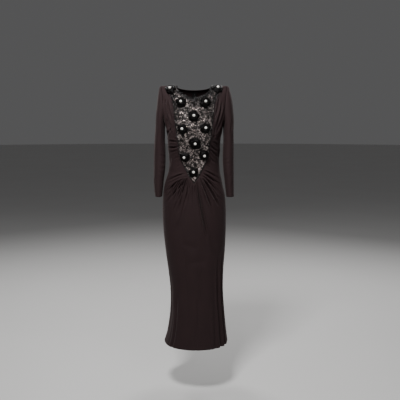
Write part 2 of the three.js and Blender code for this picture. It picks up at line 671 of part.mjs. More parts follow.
// The tape runs inside the back, on the rows of the bodice and of the upper skirt.
function zipTape() {
  const bodiceRows = centreBack(-NECK_BACK, WAIST_BACK, BACK_ROWS).slice(1);
  const skirtRows = SKIRT_ROWS.slice(1, ZIP_SKIRT_ROWS + 1)
    .map((fall) => [0, Math.sqrt(-mix(WAIST_BACK, HEM, fall))]);
  const grid = [...bodiceRows, ...skirtRows].map(([, depth]) => [-1, 0, 1].map((share) =>
    [angleOf(ringAt(depth).middle + share * ZIP_HALF_WIDTH, -depth * depth), -depth]));
  const [outer, inner] = wallFaces(grid, () => -WALL - ZIP_TAPE.gap, ZIP_TAPE.thickness, SEAM_GAP / 2);
  return named('zip_tape', closedWall(outer, inner, false), tapeCloth());
}

// Slider seen from the side: a plate with a low arch over it, as wide as the arch.
function sliderBody() {
  const half = SLIDER.length / 2;
  const archHalf = SLIDER.slot / 2 + SLIDER.wall;
  const top = SLIDER.plate + SLIDER.rise + SLIDER.wall;
  const side = new THREE.Shape();
  side.moveTo(-half, 0);
  side.lineTo(half, 0);
  side.lineTo(half, SLIDER.shoulder);
  side.lineTo(archHalf, SLIDER.shoulder);
  side.lineTo(archHalf - SLIDER.wall / 2, top);
  side.lineTo(-archHalf + SLIDER.wall / 2, top);
  side.lineTo(-archHalf, SLIDER.shoulder);
  side.lineTo(-half, SLIDER.shoulder);
  const slot = new THREE.Path();
  slot.moveTo(-SLIDER.slot / 2, SLIDER.plate);
  slot.lineTo(-SLIDER.slot / 2, SLIDER.plate + SLIDER.rise);
  slot.lineTo(SLIDER.slot / 2, SLIDER.plate + SLIDER.rise);
  slot.lineTo(SLIDER.slot / 2, SLIDER.plate);
  side.holes.push(slot);
  const body = new THREE.ExtrudeGeometry(side, { depth: SLIDER.width, bevelEnabled: false });
  return body.translate(0, 0, -SLIDER.width / 2);
}

// Pull tab: a flat tongue with an eye round the slider's arch; its bar turns inside the arch.
function pullTab() {
  const half = PULL.width / 2;
  const tongue = new THREE.Shape();
  tongue.moveTo(-half, PULL.bar / 2);
  tongue.lineTo(-half, -PULL.length + half);
  tongue.absarc(0, -PULL.length + half, half, 180 * DEGREE, 360 * DEGREE, false);
  tongue.lineTo(half, PULL.bar / 2);
  const eye = new THREE.Path();
  const eyeTop = -PULL.bar / 2;
  eye.moveTo(-PULL.eyeWidth / 2, eyeTop);
  eye.lineTo(-PULL.eyeWidth / 2, eyeTop - PULL.eyeLength);
  eye.lineTo(PULL.eyeWidth / 2, eyeTop - PULL.eyeLength);
  eye.lineTo(PULL.eyeWidth / 2, eyeTop);
  tongue.holes.push(eye);
  const solid = { depth: PULL.thickness, bevelEnabled: false, curveSegments: 6 };
  const tab = new THREE.ExtrudeGeometry(tongue, solid);
  return tab.translate(0, 0, -PULL.thickness / 2);
}

// The slider stands on the centre back just under the neckline, turned to lie on its slope.
function zipHardware() {
  const depth = -Math.sqrt(-SLIDER.height);
  const out = gownNormal(0, depth);
  const across = new THREE.Vector3(-1, 0, 0);
  const up = new THREE.Vector3().crossVectors(out, across).normalize();
  const hardware = new THREE.Group();
  hardware.applyMatrix4(new THREE.Matrix4().makeBasis(across, up, out));
  hardware.position.copy(lifted(0, depth, SLIDER.gap));
  const slider = named('zip_slider', sliderBody(), metal());
  slider.rotation.set(0, -90 * DEGREE, -90 * DEGREE);
  const pull = named('zip_pull', pullTab(), metal());
  pull.position.z = SLIDER.plate + SLIDER.rise / 2;
  hardware.add(slider, pull);
  return hardware;
}

const gown = new THREE.Group();
const frontPanels = [bib(), sideFront(-1), sideFront(1)];
gown.add(...frontPanels, ...flowers(frontPanels), skirtFront());
[-1, 1].forEach((side) => gown.add(bodiceBack(side), skirtBack(side), sleeve(side)));
gown.add(zipTape(), zipHardware());

export default gown;
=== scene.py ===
"""Evening gown of black jersey with a beaded bib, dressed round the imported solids.

Shapes are worked out in millimetres and made in metres. +Z is up and the front faces -Y.
A place on the gown is an angle round it and a depth, the square root of the drop below the
shoulders, which is negative on the back.
"""

import math

import bpy
import numpy as np
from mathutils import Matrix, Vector


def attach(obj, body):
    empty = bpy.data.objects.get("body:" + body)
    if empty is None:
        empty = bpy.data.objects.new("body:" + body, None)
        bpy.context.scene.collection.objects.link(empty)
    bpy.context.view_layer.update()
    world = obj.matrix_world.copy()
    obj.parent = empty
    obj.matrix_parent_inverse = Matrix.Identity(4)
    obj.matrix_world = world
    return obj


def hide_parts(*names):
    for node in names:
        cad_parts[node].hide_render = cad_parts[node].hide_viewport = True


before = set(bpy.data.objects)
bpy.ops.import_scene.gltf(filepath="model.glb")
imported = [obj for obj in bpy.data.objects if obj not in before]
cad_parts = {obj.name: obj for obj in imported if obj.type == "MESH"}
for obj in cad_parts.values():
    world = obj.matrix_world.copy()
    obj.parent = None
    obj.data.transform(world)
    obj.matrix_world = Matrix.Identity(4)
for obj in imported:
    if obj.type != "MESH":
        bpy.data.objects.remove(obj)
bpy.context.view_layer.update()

MM = 0.001
SIDE = math.pi / 2  # angle of the side seam
TURN = 2 * math.pi

# The gown's driving dimensions, as the solids have them
HEM = -1270
CUFF = -533
UNDERARM = -190
SHOULDER_TIP = 158
NECK_SIDE = 85
NECK_FRONT = 57
NECK_NOTCH = 6
NOTCH_HALF = 15
NECK_BACK = 18
WAIST_INNER = -428
WAIST_SIDE = -472
WAIST_BACK = -478
BIB_TIP = -463
BIB_TURN = (62, -358)
BIB_WAIST = (26, WAIST_INNER)
BIB_ROWS = 13
ROW_CROWDING = 0.75
ARMHOLE_ROUNDING = 8
SQUARENESS = 0.06
BUST = {"lift": 9, "across": 72, "height": -232, "half_wide": 46, "half_high": 60}
FAN_DROP = (200, 60)
CAP = {"start": 0.7, "reach": 15, "rise": 4, "fullness": 7, "drop": 0.52, "left_slack": -7, "right_slack": 5}

# How the shells are divided and finished
FINER = 6  # lines for each line of the solids
CLOTH = 1.0  # thickness of the jersey as it shows
TURNED_HEM = 21  # height of the hem that is turned in
ROLL = (0.0, 0.4, 0.9, 1.8)  # distances from an edge at which a shell has extra lines
ROLL_SINK = 0.9  # how far an edge turns in
WAIST_PUFF = 5  # how far the gathered skirt stands out just below its seam
HEM_STEP = 1.4  # height over which the turned hem gets thicker
STITCH_DENT = 0.4  # depth of the line that stitches draw
SEAM_OPENING = 30  # fall over which a gather opens below its seam
HANGING_OPENING = 210  # fall over which a lower fold of the skirt opens
SOLID_WALL = 1.8  # thickness of the cloth in the solids
SIDES = ((-1, "left"), (1, "right"))


def table(names, rows):
    """Rows of numbers as one array for each named column."""
    return dict(zip(names.split(), np.array(rows, float).T))


def rows_of(columns):
    """The rows of a table, each as a dictionary."""
    return [dict(zip(columns, row)) for row in zip(*columns.values())]


RINGS = table("z left right front back", [
    (0, 190, 190, 0, 0),
    (-15, 188, 188, 42, 48),
    (-30, 185, 185, 58, 65),
    (-60, 180, 180, 76, 84),
    (-100, 172, 172, 92, 96),
    (-150, 154, 154, 106, 102),
    (-190, 139, 139, 114, 102),
    (-240, 131, 130, 116, 98),
    (-300, 127, 126, 102, 88),
    (-357, 122, 122.5, 88, 80),
    (-406, 125, 125.5, 86, 84),
    (-431, 132, 129.5, 88, 89),
    (-480, 147, 140, 95, 101),
    (-530, 153, 151, 101, 110),
    (-605, 156, 156, 106, 116),
    (-705, 152, 156, 108, 112),
    (-807, 142, 152, 109, 107),
    (-909, 129, 145, 112, 104),
    (-1012, 119.5, 144, 120, 107),
    (-1116, 122, 151, 134, 115),
    (-1220, 137, 161.5, 148, 126),
    (-1270, 152, 168, 156, 133),
])

BIB_EDGE = table("z half", [
    (0, 133), (-30, 119), (-60, 107), (-95, 99), (-140, 93.5), (-190, 89), (-235, 82),
    (-284, 74.5), (-325, 70), (-358, 62),
])

ARMHOLE_STEPS = (0, 0.16, 0.32, 0.48, 0.64, 0.78, 0.89, 0.965, 1)
SIDE_SEAM_ROWS = 9

SKIRT_FAN = [
    (0, 0), (0.15, 14), (0.27, 26), (0.44, 34), (0.55, 41), (0.68, 51), (0.8, 61), (0.87, 74),
    (0.92, 93), (0.96, 116),
]
SKIRT_COLUMNS = (
    0, 0.06, 0.11, 0.15, 0.19, 0.23, 0.27, 0.335, 0.4, 0.44, 0.48, 0.515,
    0.55, 0.585, 0.635, 0.68, 0.725, 0.8, 0.835, 0.87, 0.92, 0.96, 1,
)
SKIRT_ROWS = (0, 0.015, 0.04, 0.08, 0.13, 0.19, 0.27, 0.36, 0.46, 0.56, 0.66, 0.76, 0.86, 0.94, 1)
SIDE_FRONT_LINES = (0.27, 0.44, 0.55, 0.68, 0.8, 0.87, 0.92, 0.96, 1)

# Folds of the front skirt along its grid lines: place, half width in the same share of the
# width, depth, and where each begins and ends below the top edge. Those that begin at 0 run out
# of the bib's point and the waist seam; the others open softly lower down.
SKIRT_FOLDS = table("place width depth begin end", [
    (0.335, 0.027, 4, 0, 130),
    (0.44, 0.031, 5, 0, 200),
    (0.55, 0.027, 4, 0, 150),
    (0.68, 0.031, 4, 0, 170),
    (0.835, 0.028, 3.5, 0, 115),
    (-0.15, 0.034, 4.5, 0, 150),
    (-0.335, 0.03, 5, 0, 220),
    (-0.48, 0.034, 4, 0, 170),
    (-0.635, 0.034, 4, 0, 160),
    (-0.835, 0.03, 3.5, 0, 110),
    (0.555, 0.036, 9, 360, 1150),
    (0.7, 0.036, 9, 330, 1190),
    (0.4, 0.036, 5, 600, 1100),
    (-0.515, 0.036, 5, 540, 1100),
    (0.03, 0.02, 2.2, 0, 70),
    (0.085, 0.018, 2.8, 0, 120),
    (0.14, 0.02, 4.2, 0, 200),
    (0.185, 0.016, 3.0, 0, 90),
    (0.285, 0.018, 3.8, 0, 160),
    (0.385, 0.02, 4.2, 0, 180),
    (0.495, 0.018, 3.8, 0, 110),
    (0.61, 0.02, 4.0, 0, 140),
    (0.745, 0.02, 3.6, 0, 110),
    (0.785, 0.018, 3.0, 0, 70),
    (0.895, 0.018, 3.2, 0, 80),
    (0.945, 0.016, 2.2, 0, 55),
    (-0.045, 0.018, 2.4, 0, 80),
    (-0.095, 0.018, 3.2, 0, 130),
    (-0.2, 0.02, 4.0, 0, 170),
    (-0.25, 0.018, 3.2, 0, 90),
    (-0.29, 0.016, 3.0, 0, 130),
    (-0.4, 0.02, 4.0, 0, 150),
    (-0.545, 0.02, 4.2, 0, 130),
    (-0.7, 0.02, 3.8, 0, 150),
    (-0.76, 0.018, 3.4, 0, 90),
    (-0.895, 0.018, 3.2, 0, 80),
    (-0.945, 0.016, 2.0, 0, 55),
    (0.12, 0.1, 2.6, 260, 880),
    (-0.22, 0.11, 3.2, 230, 880),
    (-0.75, 0.06, 3, 430, 870),
    (0.87, 0.045, 2.6, 430, 860),
    (0.44, 0.04, 2.2, 520, 860),
    (-0.62, 0.03, 2, 640, 860),
    (0.0, 0.05, 1.6, 560, 860),
])

# Soft folds drawn on the cloth: both ends, how far the middle bows sideways, half width and
# depth. A negative depth is a ridge. Front and back use x and z.
CREASE_COLUMNS = "x0 z0 x1 z1 bow width depth"
FRONT_CREASES = table(CREASE_COLUMNS, [
    (-74, -268, -131, -264, 3, 4.6, 4.2),
    (-75, -288, -131, -294, -4, 5.0, 5.0),
    (-141, -58, -110, -214, 5, 5.4, 9.5),
    (-128, -62, -103, -172, 3, 4.6, 5.5),
    (-133, -150, -104, -238, 3, 4.6, 6.0),
    (-100, -196, -136, -246, 4, 5.0, 4.0),
    (-73, -304, -118, -322, 3, 4.4, 1.8),
    (-66, -338, -98, -352, 3, 4.0, 1.2),
    (-62, -372, -88, -396, 2, 3.6, 1.4),
    (-38, -416, -142, -468, 8, 4.2, 5.5),
    (-32, -430, -150, -524, 7, 4.6, 5.5),
    (-30, -444, -150, -586, 7, 4.8, 5),
    (-24, -448, -118, -640, 5, 4.6, 4),
    (-14, -456, -70, -660, 4, 4.6, 3.5),
    (133, -74, 97, -222, -5, 5.4, 10),
    (141, -108, 103, -234, -4, 4.8, 8.5),
    (141, -152, 110, -256, -3, 4.6, 8),
    (119, -56, 103, -150, -3, 4.8, 4.6),
    (99, -196, 90, -262, -2, 4.0, 4.0),
    (85, -232, 108, -238, 2, 3.6, 2.2),
    (80, -262, 116, -284, -3, 4.0, 4.4),
    (76, -278, 121, -314, 5, 4.6, 5.4),
    (72, -300, 118, -348, -4, 4.6, 5.0),
    (68, -326, 108, -374, 4, 4.4, 3.6),
    (58, -372, 82, -392, 2, 3.4, 1.4),
    (13, -440, 68, -752, 4, 3.9, 15),
    (24, -434, 96, -618, -2, 3.8, 10),
    (32, -428, 132, -602, -5, 4.4, 13),
    (34, -421, 138, -540, -4, 4.2, 8.5),
    (36, -412, 132, -486, -4, 4.4, 7.5),
    (44, -399, 126, -450, -3, 4.2, 5.5),
    (119, -290, 124, -372, 4, 5.8, 3.4),
    (-117, -330, -124, -400, -4, 5.8, 3.2),
    (-50, -556, -108, -700, -5, 13, -3.8),
    (62, -690, 96, -830, 6, 13, -2.6),
    (-96, -500, -140, -545, 4, 6, 2.5),
    (96, -520, 138, -556, -4, 6, 2.5),
    (-70, -745, 40, -770, 9, 16, 1.8),
    (-40, -860, 84, -842, -9, 17, 2.0),
    (-66, -980, -98, -1130, 5, 12, 3.1),
    (14, -1010, 22, -1230, -5, 13, 3.2),
])
BACK_CREASES = table(CREASE_COLUMNS, [
    (-139, -62, -116, -194, 5, 5.5, 2.0),
    (136, -78, 112, -206, -4, 5.5, 2.2),
    (-118, -96, -92, -170, 4, 5, 1.3),
    (121, -52, 104, -128, -4, 5, 1.2),
    (-26, -372, -104, -356, 5, 5, 1.6),
    (-20, -398, -88, -409, -4, 4.5, 1.8),
    (28, -386, 101, -372, -5, 5, 1.7),
    (22, -414, 79, -428, 4, 4.2, 1.6),
    (-58, -318, -112, -298, 4, 5, 1.2),
    (66, -330, 113, -316, -4, 5, 1.2),
    (-19, -482, -31, -596, -3, 5, 2.6),
    (-42, -481, -66, -578, 4, 4.6, 2.3),
    (-70, -478, -104, -552, -3, 4.6, 2.4),
    (-101, -475, -129, -519, 3, 4.4, 1.9),
    (16, -482, 24, -571, 3, 4.8, 2.3),
    (37, -481, 59, -603, -4, 5, 2.6),
    (66, -478, 91, -549, 3, 4.4, 2.1),
    (94, -476, 127, -532, -3, 4.6, 2.2),
    (-70, -760, 52, -778, -9, 17, 1.7),
    (-34, -836, 80, -818, 9, 16, 1.5),
    (-60, -866, -90, -1410, 8, 12, 4.6),
    (-14, -940, -24, -1370, -6, 11, 3.8),
    (34, -892, 46, -1430, 7, 13, 4.8),
    (92, -850, 118, -1390, -7, 10, 4.2),
    (-98, -990, -127, -1350, 4, 9, 3.2),
])

# Gathers at the head of a sleeve: degrees from the outer edge, length, half width and depth.
CAP_GATHERS = table("around length width depth", [
    (-63, 26, 3.0, 1.2), (-44, 34, 3.4, 1.6), (-25, 30, 3.2, 1.5), (-8, 38, 3.6, 1.8),
    (11, 33, 3.2, 1.6), (28, 40, 3.6, 1.9), (47, 31, 3.2, 1.6), (66, 36, 3.4, 1.4),
])
# Folds of the sleeves: arc from the outer edge, forwards positive, and height.
LEFT_SLEEVE_CREASES = table(CREASE_COLUMNS, [
    (22, -96, 48, -236, 5, 6, 2.2),
    (64, -176, 40, -318, -5, 6, 2.0),
    (47, -332, 112, -350, -5, 4.4, 2.2),
    (40, -360, 114, -371, 5, 4.2, 2.0),
    (52, -391, 110, -388, 4, 4.2, 1.7),
    (30, -404, 84, -430, -4, 4.4, 1.6),
    (-28, -346, -96, -360, 5, 5, 1.7),
    (-24, -384, -90, -378, -4, 4.6, 1.5),
    (14, -428, 40, -498, 4, 4.6, 1.6),
    (70, -440, 88, -505, -4, 4.4, 1.4),
    (-40, -200, -64, -300, 5, 6, 1.9),
    (-20, -450, -44, -512, -3, 4.6, 1.4),
])
RIGHT_SLEEVE_CREASES = table(CREASE_COLUMNS, [
    (26, -120, 54, -262, -5, 6, 2.1),
    (58, -168, 34, -290, 5, 6, 1.8),
    (44, -340, 110, -362, 5, 4.4, 2.1),
    (36, -372, 112, -378, -5, 4.2, 1.9),
    (50, -402, 112, -396, 4, 4.2, 1.7),
    (26, -414, 80, -444, 4, 4.4, 1.5),
    (-30, -338, -98, -346, -5, 5, 1.7),
    (-22, -372, -92, -390, 4, 4.6, 1.6),
    (10, -436, 44, -506, -4, 4.6, 1.5),
    (66, -450, 80, -510, 3, 4.4, 1.3),
    (-36, -186, -60, -310, -5, 6, 2.0),
    (-16, -440, -38, -506, 3, 4.6, 1.3),
])

SLEEVE_RINGS = table("z left_outer right_outer inner half_deep y", [
    (-215, 189.5, 192.2, 141.5, 52, 0),
    (-260, 193, 193.2, 142, 48, -2),
    (-308, 195, 193.8, 140, 45, -5),
    (-357, 196, 193.5, 139.5, 43, -9),
    (-406, 196.5, 193.5, 142, 41, -14),
    (-456, 196.5, 193.5, 148, 38, -19),
    (-505, 194.3, 194, 153.5, 35, -24),
    (CUFF, 190.5, 194.5, 156, 33, -27),
])
CAP_STEPS = (0, 0.1, 0.24, 0.4, 0.58, 0.78, 1)

FLOWERS = table("x z radius turn", [
    (-113, -20, 27, 10),
    (113, -17, 27, 40),
    (-60, -80, 28, 25),
    (54, -80, 29, 55),
    (0, -145, 30, 5),
    (-53, -205, 27, 48),
    (53, -201, 27, 20),
    (6, -270, 32, 32),
    (-44, -336, 26.5, 12),
    (47, -328, 27, 60),
    (-2, -409, 26, 38),
])
FLOWER_GAP = 0.9
FLOWER_SEAT = 7
PEARL_RADIUS = 6.4
PEARL_GAP = 0.36

# Embroidered leaves, curls and rings: place on the bib, turn in degrees, length or radius, and
# the width of a leaf or the turns of a curl.
LEAVES = table("x z turn length width", [
    (-41, -133, 62, 26, 9),
    (-36, -154, 118, 20, 8),
    (33, -121, 148, 24, 9),
    (42, -133, 34, 19, 8),
    (71, -160, 75, 21, 8),
    (-74, -160, 108, 22, 8),
    (-66, -172, 52, 21, 8),
    (19, -205, 80, 27, 11),
    (24, -228, 128, 20, 8),
    (-16, -196, 110, 23, 9),
    (-14, -240, 38, 21, 8),
    (-30, -253, 140, 22, 8),
    (46, -243, 58, 20, 8),
    (-68, -247, 86, 20, 7),
    (-64, -296, 74, 22, 8),
    (38, -289, 30, 21, 8),
    (-24, -303, 20, 22, 8),
    (12, -318, 96, 26, 10),
    (-24, -358, 50, 23, 8),
    (-47, -372, 130, 22, 8),
    (45, -364, 52, 22, 8),
    (14, -358, 112, 23, 8),
    (22, -378, 128, 21, 8),
    (24, -402, 84, 24, 9),
    (-31, -408, 100, 24, 9),
    (-8, -447, 70, 19, 7),
    (4, -440, 110, 15, 6),
    (-20, -94, 70, 22, 8),
    (20, -92, 112, 21, 8),
    (-96, -66, 122, 21, 8),
    (92, -74, 60, 21, 8),
    (-84, -108, 80, 22, 8),
    (86, -118, 104, 22, 8),
    (-88, -30, 20, 20, 7),
    (84, -26, 156, 19, 7),
    (-120, -52, 100, 16, 6),
])
CURLS = table("x z turn length width", [
    (62, -142, 20, 8, 1.6),
    (57, -250, 200, 9, 1.7),
    (-68, -326, 100, 8, 1.6),
    (-19, -117, 300, 7.5, 1.5),
    (19, -116, 240, 7, 1.5),
    (-82, -208, 60, 7, 1.5),
    (82, -182, 120, 7, 1.5),
    (-3, -211, 90, 7.5, 1.6),
    (-62, -266, 10, 7, 1.4),
    (64, -290, 150, 7.5, 1.5),
    (4, -228, 330, 6.5, 1.3),
    (-12, -334, 40, 7.5, 1.6),
    (20, -338, 190, 7, 1.4),
    (-38, -392, 80, 7, 1.5),
    (38, -392, 260, 7, 1.4),
    (12, -454, 20, 5, 1.2),
    (98, -38, 50, 7, 1.4),
    (75, -29, 130, 6.5, 1.4),
    (-97, -96, 210, 6.5, 1.3),
    (97, -98, 330, 6.5, 1.3),
    (-40, -112, 170, 6.5, 1.4),
    (-10, -378, 10, 6, 1.3),
    (-78, -138, 250, 6.5, 1.4),
    (-22, -222, 150, 6.5, 1.3),
    (40, -270, 60, 6, 1.3),
])


# Places on the gown


def smooth_column(places, values, at):
    """Cubic between the two rows round `at`, each row's slope taken across its neighbours."""
    last = len(places) - 1
    rows = np.arange(last + 1)
    low, high = np.maximum(rows - 1, 0), np.minimum(rows + 1, last)
    slopes = (values[high] - values[low]) / (places[high] - places[low])
    i = np.clip(np.searchsorted(places, at) - 1, 0, last - 1)
    span = places[i + 1] - places[i]
    f = np.clip((at - places[i]) / span, 0, 1)
    start = (1 + 2 * f) * (1 - f) ** 2
    bend = f * (1 - f) * span * ((1 - f) * slopes[i] - f * slopes[i + 1])
    return start * values[i] + (1 - start) * values[i + 1] + bend


def mix(a, b, share):
    """a where share is 0, b where it is 1."""
    return a + (b - a) * share


def steps(count):
    """Even steps from 0 to 1."""
    return np.linspace(0, 1, count + 1)


def finer(values, count=FINER):
    """The values with `count` even steps between each two."""
    at = np.arange((len(values) - 1) * count + 1) / count
    return np.interp(at, np.arange(len(values)), values)


def unit(vectors):
    """The vectors, each divided by its length."""
    return vectors / np.maximum(np.linalg.norm(vectors, axis=-1, keepdims=True), 1e-9)


def run_along(line):
    """Distance from a line's start to each of its points, along it."""
    return np.concatenate([[0], np.cumsum(np.linalg.norm(np.diff(line, axis=0), axis=1))])


def even_turns(count):
    """Angles evenly spaced round a full turn."""
    return np.arange(count) * TURN / count


def ring(depth):
    """Middle and half width of the ring at a depth, and how far it reaches forwards and back."""
    drop_root = np.abs(depth)
    left, right, front, back = (
        smooth_column(np.sqrt(-RINGS["z"]), RINGS[name], drop_root)
        for name in ("left", "right", "front", "back")
    )
    return (right - left) / 2, (right + left) / 2, front, back


def gown_point(angle, depth):
    """Point of the gown: a ring a little fuller than an ellipse, x = half sin (1 + q cos²) and
    y = reach cos (1 + q sin²), with a soft round lift for the bust in front."""
    middle, half, front, back = ring(depth)
    s, c = np.sin(angle), np.cos(angle)
    x = middle + half * s * (1 + SQUARENESS * c * c)
    z = -np.square(depth) + 0 * x
    reach = c * (1 + SQUARENESS * s * s)
    across = (np.abs(x) - BUST["across"]) / BUST["half_wide"]
    up = (z - BUST["height"]) / BUST["half_high"]
    bust = BUST["lift"] * np.exp(-across**2 - up**2)
    y = np.where(depth < 0, back * reach, -front * reach - bust * c)
    return np.stack([x, y, z], -1)


def gown_slopes(angle, depth):
    """How fast the gown's point moves with the angle and with the depth."""
    step = 1e-3
    across = gown_point(angle + step, depth) - gown_point(angle - step, depth)
    down = gown_point(angle, depth + step) - gown_point(angle, depth - step)
    return across / (2 * step), down / (2 * step)


def gown_normal(angle, depth):
    """Outward direction: the slope down the gown crossed with the slope round it."""
    across, down = gown_slopes(angle, depth)
    return unit(np.cross(down, across))


def angle_of(x, z):
    """Angle at which the ring at height z passes x, by repeated correction."""
    middle, half, _, _ = ring(np.sqrt(-z))
    angle = np.zeros(np.broadcast(x, z).shape)
    for _ in range(12):
        sine = (x - middle) / (half * (1 + SQUARENESS * np.cos(angle) ** 2))
        angle = np.arcsin(np.clip(sine, -1, 1))
    return angle


def spot(x, z):
    """Places (angle, depth) of front points, given by x and z."""
    x, z = np.broadcast_arrays(np.asarray(x, float), np.asarray(z, float))
    return np.stack([angle_of(x, z), np.sqrt(-z)], -1)


def mirrored(line):
    """The same line on the -X side: as far from the middle plane, or on the side seam."""
    x = gown_point(line[:, 0], line[:, 1])[:, 0]
    other = spot(-x, -line[:, 1] ** 2)
    other[line[:, 0] == SIDE, 0] = -SIDE
    return other


def whole_line(line):
    """A line from the middle outwards, and its mirror image before it."""
    return np.concatenate([mirrored(line)[::-1], line[1:]])


def between_edges(top, bottom, inner, outer):
    """Grid of places between four edge lines: the two ruled surfaces' sum, less the corners'."""
    u = steps(len(top) - 1)[None, :, None]
    v = steps(len(inner) - 1)[:, None, None]
    corners = mix(mix(top[0], top[-1], u), mix(bottom[0], bottom[-1], u), v)
    ruled = mix(top[None], bottom[None], v) + mix(inner[:, None], outer[:, None], u)
    return ruled - corners


# Seam lines, on the +X side


def neckline_drop(across):
    """Drop of the front neckline at a share of its half width: a scoop and a small notch."""
    scoop = NECK_FRONT * np.clip(1 - np.abs(across) ** 2.2, 0, 1) ** 0.62
    return scoop + NECK_NOTCH * np.exp(-((across * NECK_SIDE / NOTCH_HALF) ** 2))


def front_neckline(count):
    """From the shoulder to the middle."""
    across = np.cos(steps(count) * SIDE)
    drop = neckline_drop(across)
    drop[0] = 0
    return spot(NECK_SIDE * across, -drop)


def back_neckline(count):
    """From the middle to the shoulder: a quarter of an ellipse."""
    turn = steps(count) * SIDE
    drop = NECK_BACK * np.cos(turn)
    drop[-1] = 0
    return spot(NECK_SIDE * np.sin(turn), -drop)


def shoulder_seam(start, end, count):
    """Along the top, from one x to the other."""
    return spot(mix(start, end, steps(count)), 0.0)


def bib_half(z):
    """Half width of the bib at a height above its turn."""
    return smooth_column(np.sqrt(-BIB_EDGE["z"]), BIB_EDGE["half"], np.sqrt(-z))


def bib_side_edge():
    """Down the bib's side, with rows closer together towards the shoulder."""
    depth = steps(BIB_ROWS * FINER) ** ROW_CROWDING * math.sqrt(-BIB_TURN[1])
    return spot(bib_half(-(depth**2)), -(depth**2))


def straight(start, end, count):
    """From one (x, z) to the other."""
    f = steps(count)
    return spot(mix(start[0], end[0], f), mix(start[1], end[1], f))


def armhole_line():
    """From the shoulder's tip down, turning in to the side seam late."""
    f = finer(ARMHOLE_STEPS)
    top = angle_of(np.array(float(SHOULDER_TIP)), np.array(0.0))
    angle = np.where(f == 1, SIDE, mix(top, SIDE, f**ARMHOLE_ROUNDING))
    return np.stack([angle, f * math.sqrt(-UNDERARM)], -1)


def downwards(angle, start, end, count):
    """Line of even depth steps at one angle, from one height to the other."""
    depth = mix(math.sqrt(-start), math.sqrt(-end), steps(count))
    return np.stack([np.full(count + 1, float(angle)), depth], -1)


def side_half(side):
    """Distance of the side seam from the middle, at the waist."""
    return abs(gown_point(np.array(side * SIDE), np.array(math.sqrt(-WAIST_SIDE)))[0])


def skirt_start(c, side):
    """Where the skirt's grid line c starts: on the bib's point, or on the waist seam, which falls
    from the bib as a power of the way to the side."""
    edge = side_half(side)
    fan = np.array([*SKIRT_FAN, (1, edge)], float)
    x = smooth_column(fan[:, 0], fan[:, 1], np.abs(c))
    inner, height = BIB_WAIST
    fall = np.clip((x - inner) / (edge - inner), 0, 1) ** 1.2
    z = np.where(x > inner, mix(height, WAIST_SIDE, fall), mix(BIB_TIP, height, x / inner))
    start = spot(side * x, z)
    start[np.abs(c) == 1] = (side * SIDE, math.sqrt(-WAIST_SIDE))
    return start


def back_waist(count):
    """From the middle to the side seam."""
    f = steps(count)
    return np.stack([f * SIDE, np.sqrt(-mix(WAIST_BACK, WAIST_SIDE, f * f))], -1)


# Grids of the panels. Each point has an angle, a depth, two places of its own on the panel, and
# its distance from the nearest edge.

FAR = 99.0


def panel(places, own_across, own_down):
    """Fields of a panel from its places and its two own coordinates."""
    extra = np.broadcast_arrays(own_across, own_down, np.full(places.shape[:2], FAR))
    return np.concatenate([places, np.stack(extra, -1)], -1)


def shares(places):
    """Even shares across and down a grid."""
    rows, columns = places.shape[:2]
    return steps(columns - 1)[None, :], steps(rows - 1)[:, None]


def bib_panel():
    """Between the neckline with its wings, the point below and the two side edges."""
    neck = front_neckline(5 * FINER)[::-1]
    wing = shoulder_seam(NECK_SIDE, BIB_EDGE["half"][0], 3 * FINER)
    lower = straight((0, BIB_TIP), BIB_WAIST, 4 * FINER)
    upper = straight(BIB_WAIST, BIB_TURN, 4 * FINER)
    top = np.concatenate([neck, wing[1:]])
    bottom = np.concatenate([lower, upper[1:]])
    side = bib_side_edge()
    places = between_edges(whole_line(top), whole_line(bottom), mirrored(side), side)
    return panel(places, *shares(places))


def halved_rows(places):
    """The grid with a row set halfway between each two."""
    return np.insert(places, range(1, len(places)), (places[1:] + places[:-1]) / 2, axis=0)


def side_front_panel(side):
    """Between the shoulder, the waist seam, the bib's side, and the armhole with the side seam."""
    point = straight(BIB_TURN, BIB_WAIST, 4 * FINER)
    inner = np.concatenate([bib_side_edge(), point[1:]])
    seam = downwards(SIDE, UNDERARM, WAIST_SIDE, SIDE_SEAM_ROWS * FINER)
    outer = np.concatenate([armhole_line(), seam[1:]])
    top = shoulder_seam(BIB_EDGE["half"][0], SHOULDER_TIP, (len(SIDE_FRONT_LINES) - 1) * FINER)
    waist = skirt_start(finer(SIDE_FRONT_LINES), side)
    if side < 0:
        top, inner, outer = mirrored(top), mirrored(inner), mirrored(outer)
    places = halved_rows(between_edges(top, waist, inner, outer))
    places = halved_rows(places.swapaxes(0, 1)).swapaxes(0, 1)
    return panel(places, *shares(places))


def bodice_back_panel(side):
    """Between the back neckline with the shoulder, the waist, the centre back and the side."""
    neck = back_neckline(5 * FINER)
    top = np.concatenate([neck, shoulder_seam(NECK_SIDE, SHOULDER_TIP, 3 * FINER)[1:]])
    seam = downwards(SIDE, UNDERARM, WAIST_SIDE, SIDE_SEAM_ROWS * FINER)
    outer = np.concatenate([armhole_line(), seam[1:]])
    centre = downwards(0, -NECK_BACK, WAIST_BACK, len(outer) - 1)
    places = between_edges(top, back_waist(8 * FINER), centre, outer) * (side, -1)
    return panel(places, *shares(places))


def skirt_rows(count):
    """Shares of the fall from the waist to the hem, with two rows at the turned hem's top."""
    fall = HEM - WAIST_INNER
    turned_top = [1 + TURNED_HEM / fall, 1 + (TURNED_HEM - HEM_STEP) / fall]
    return np.union1d(finer(SKIRT_ROWS, count), turned_top)


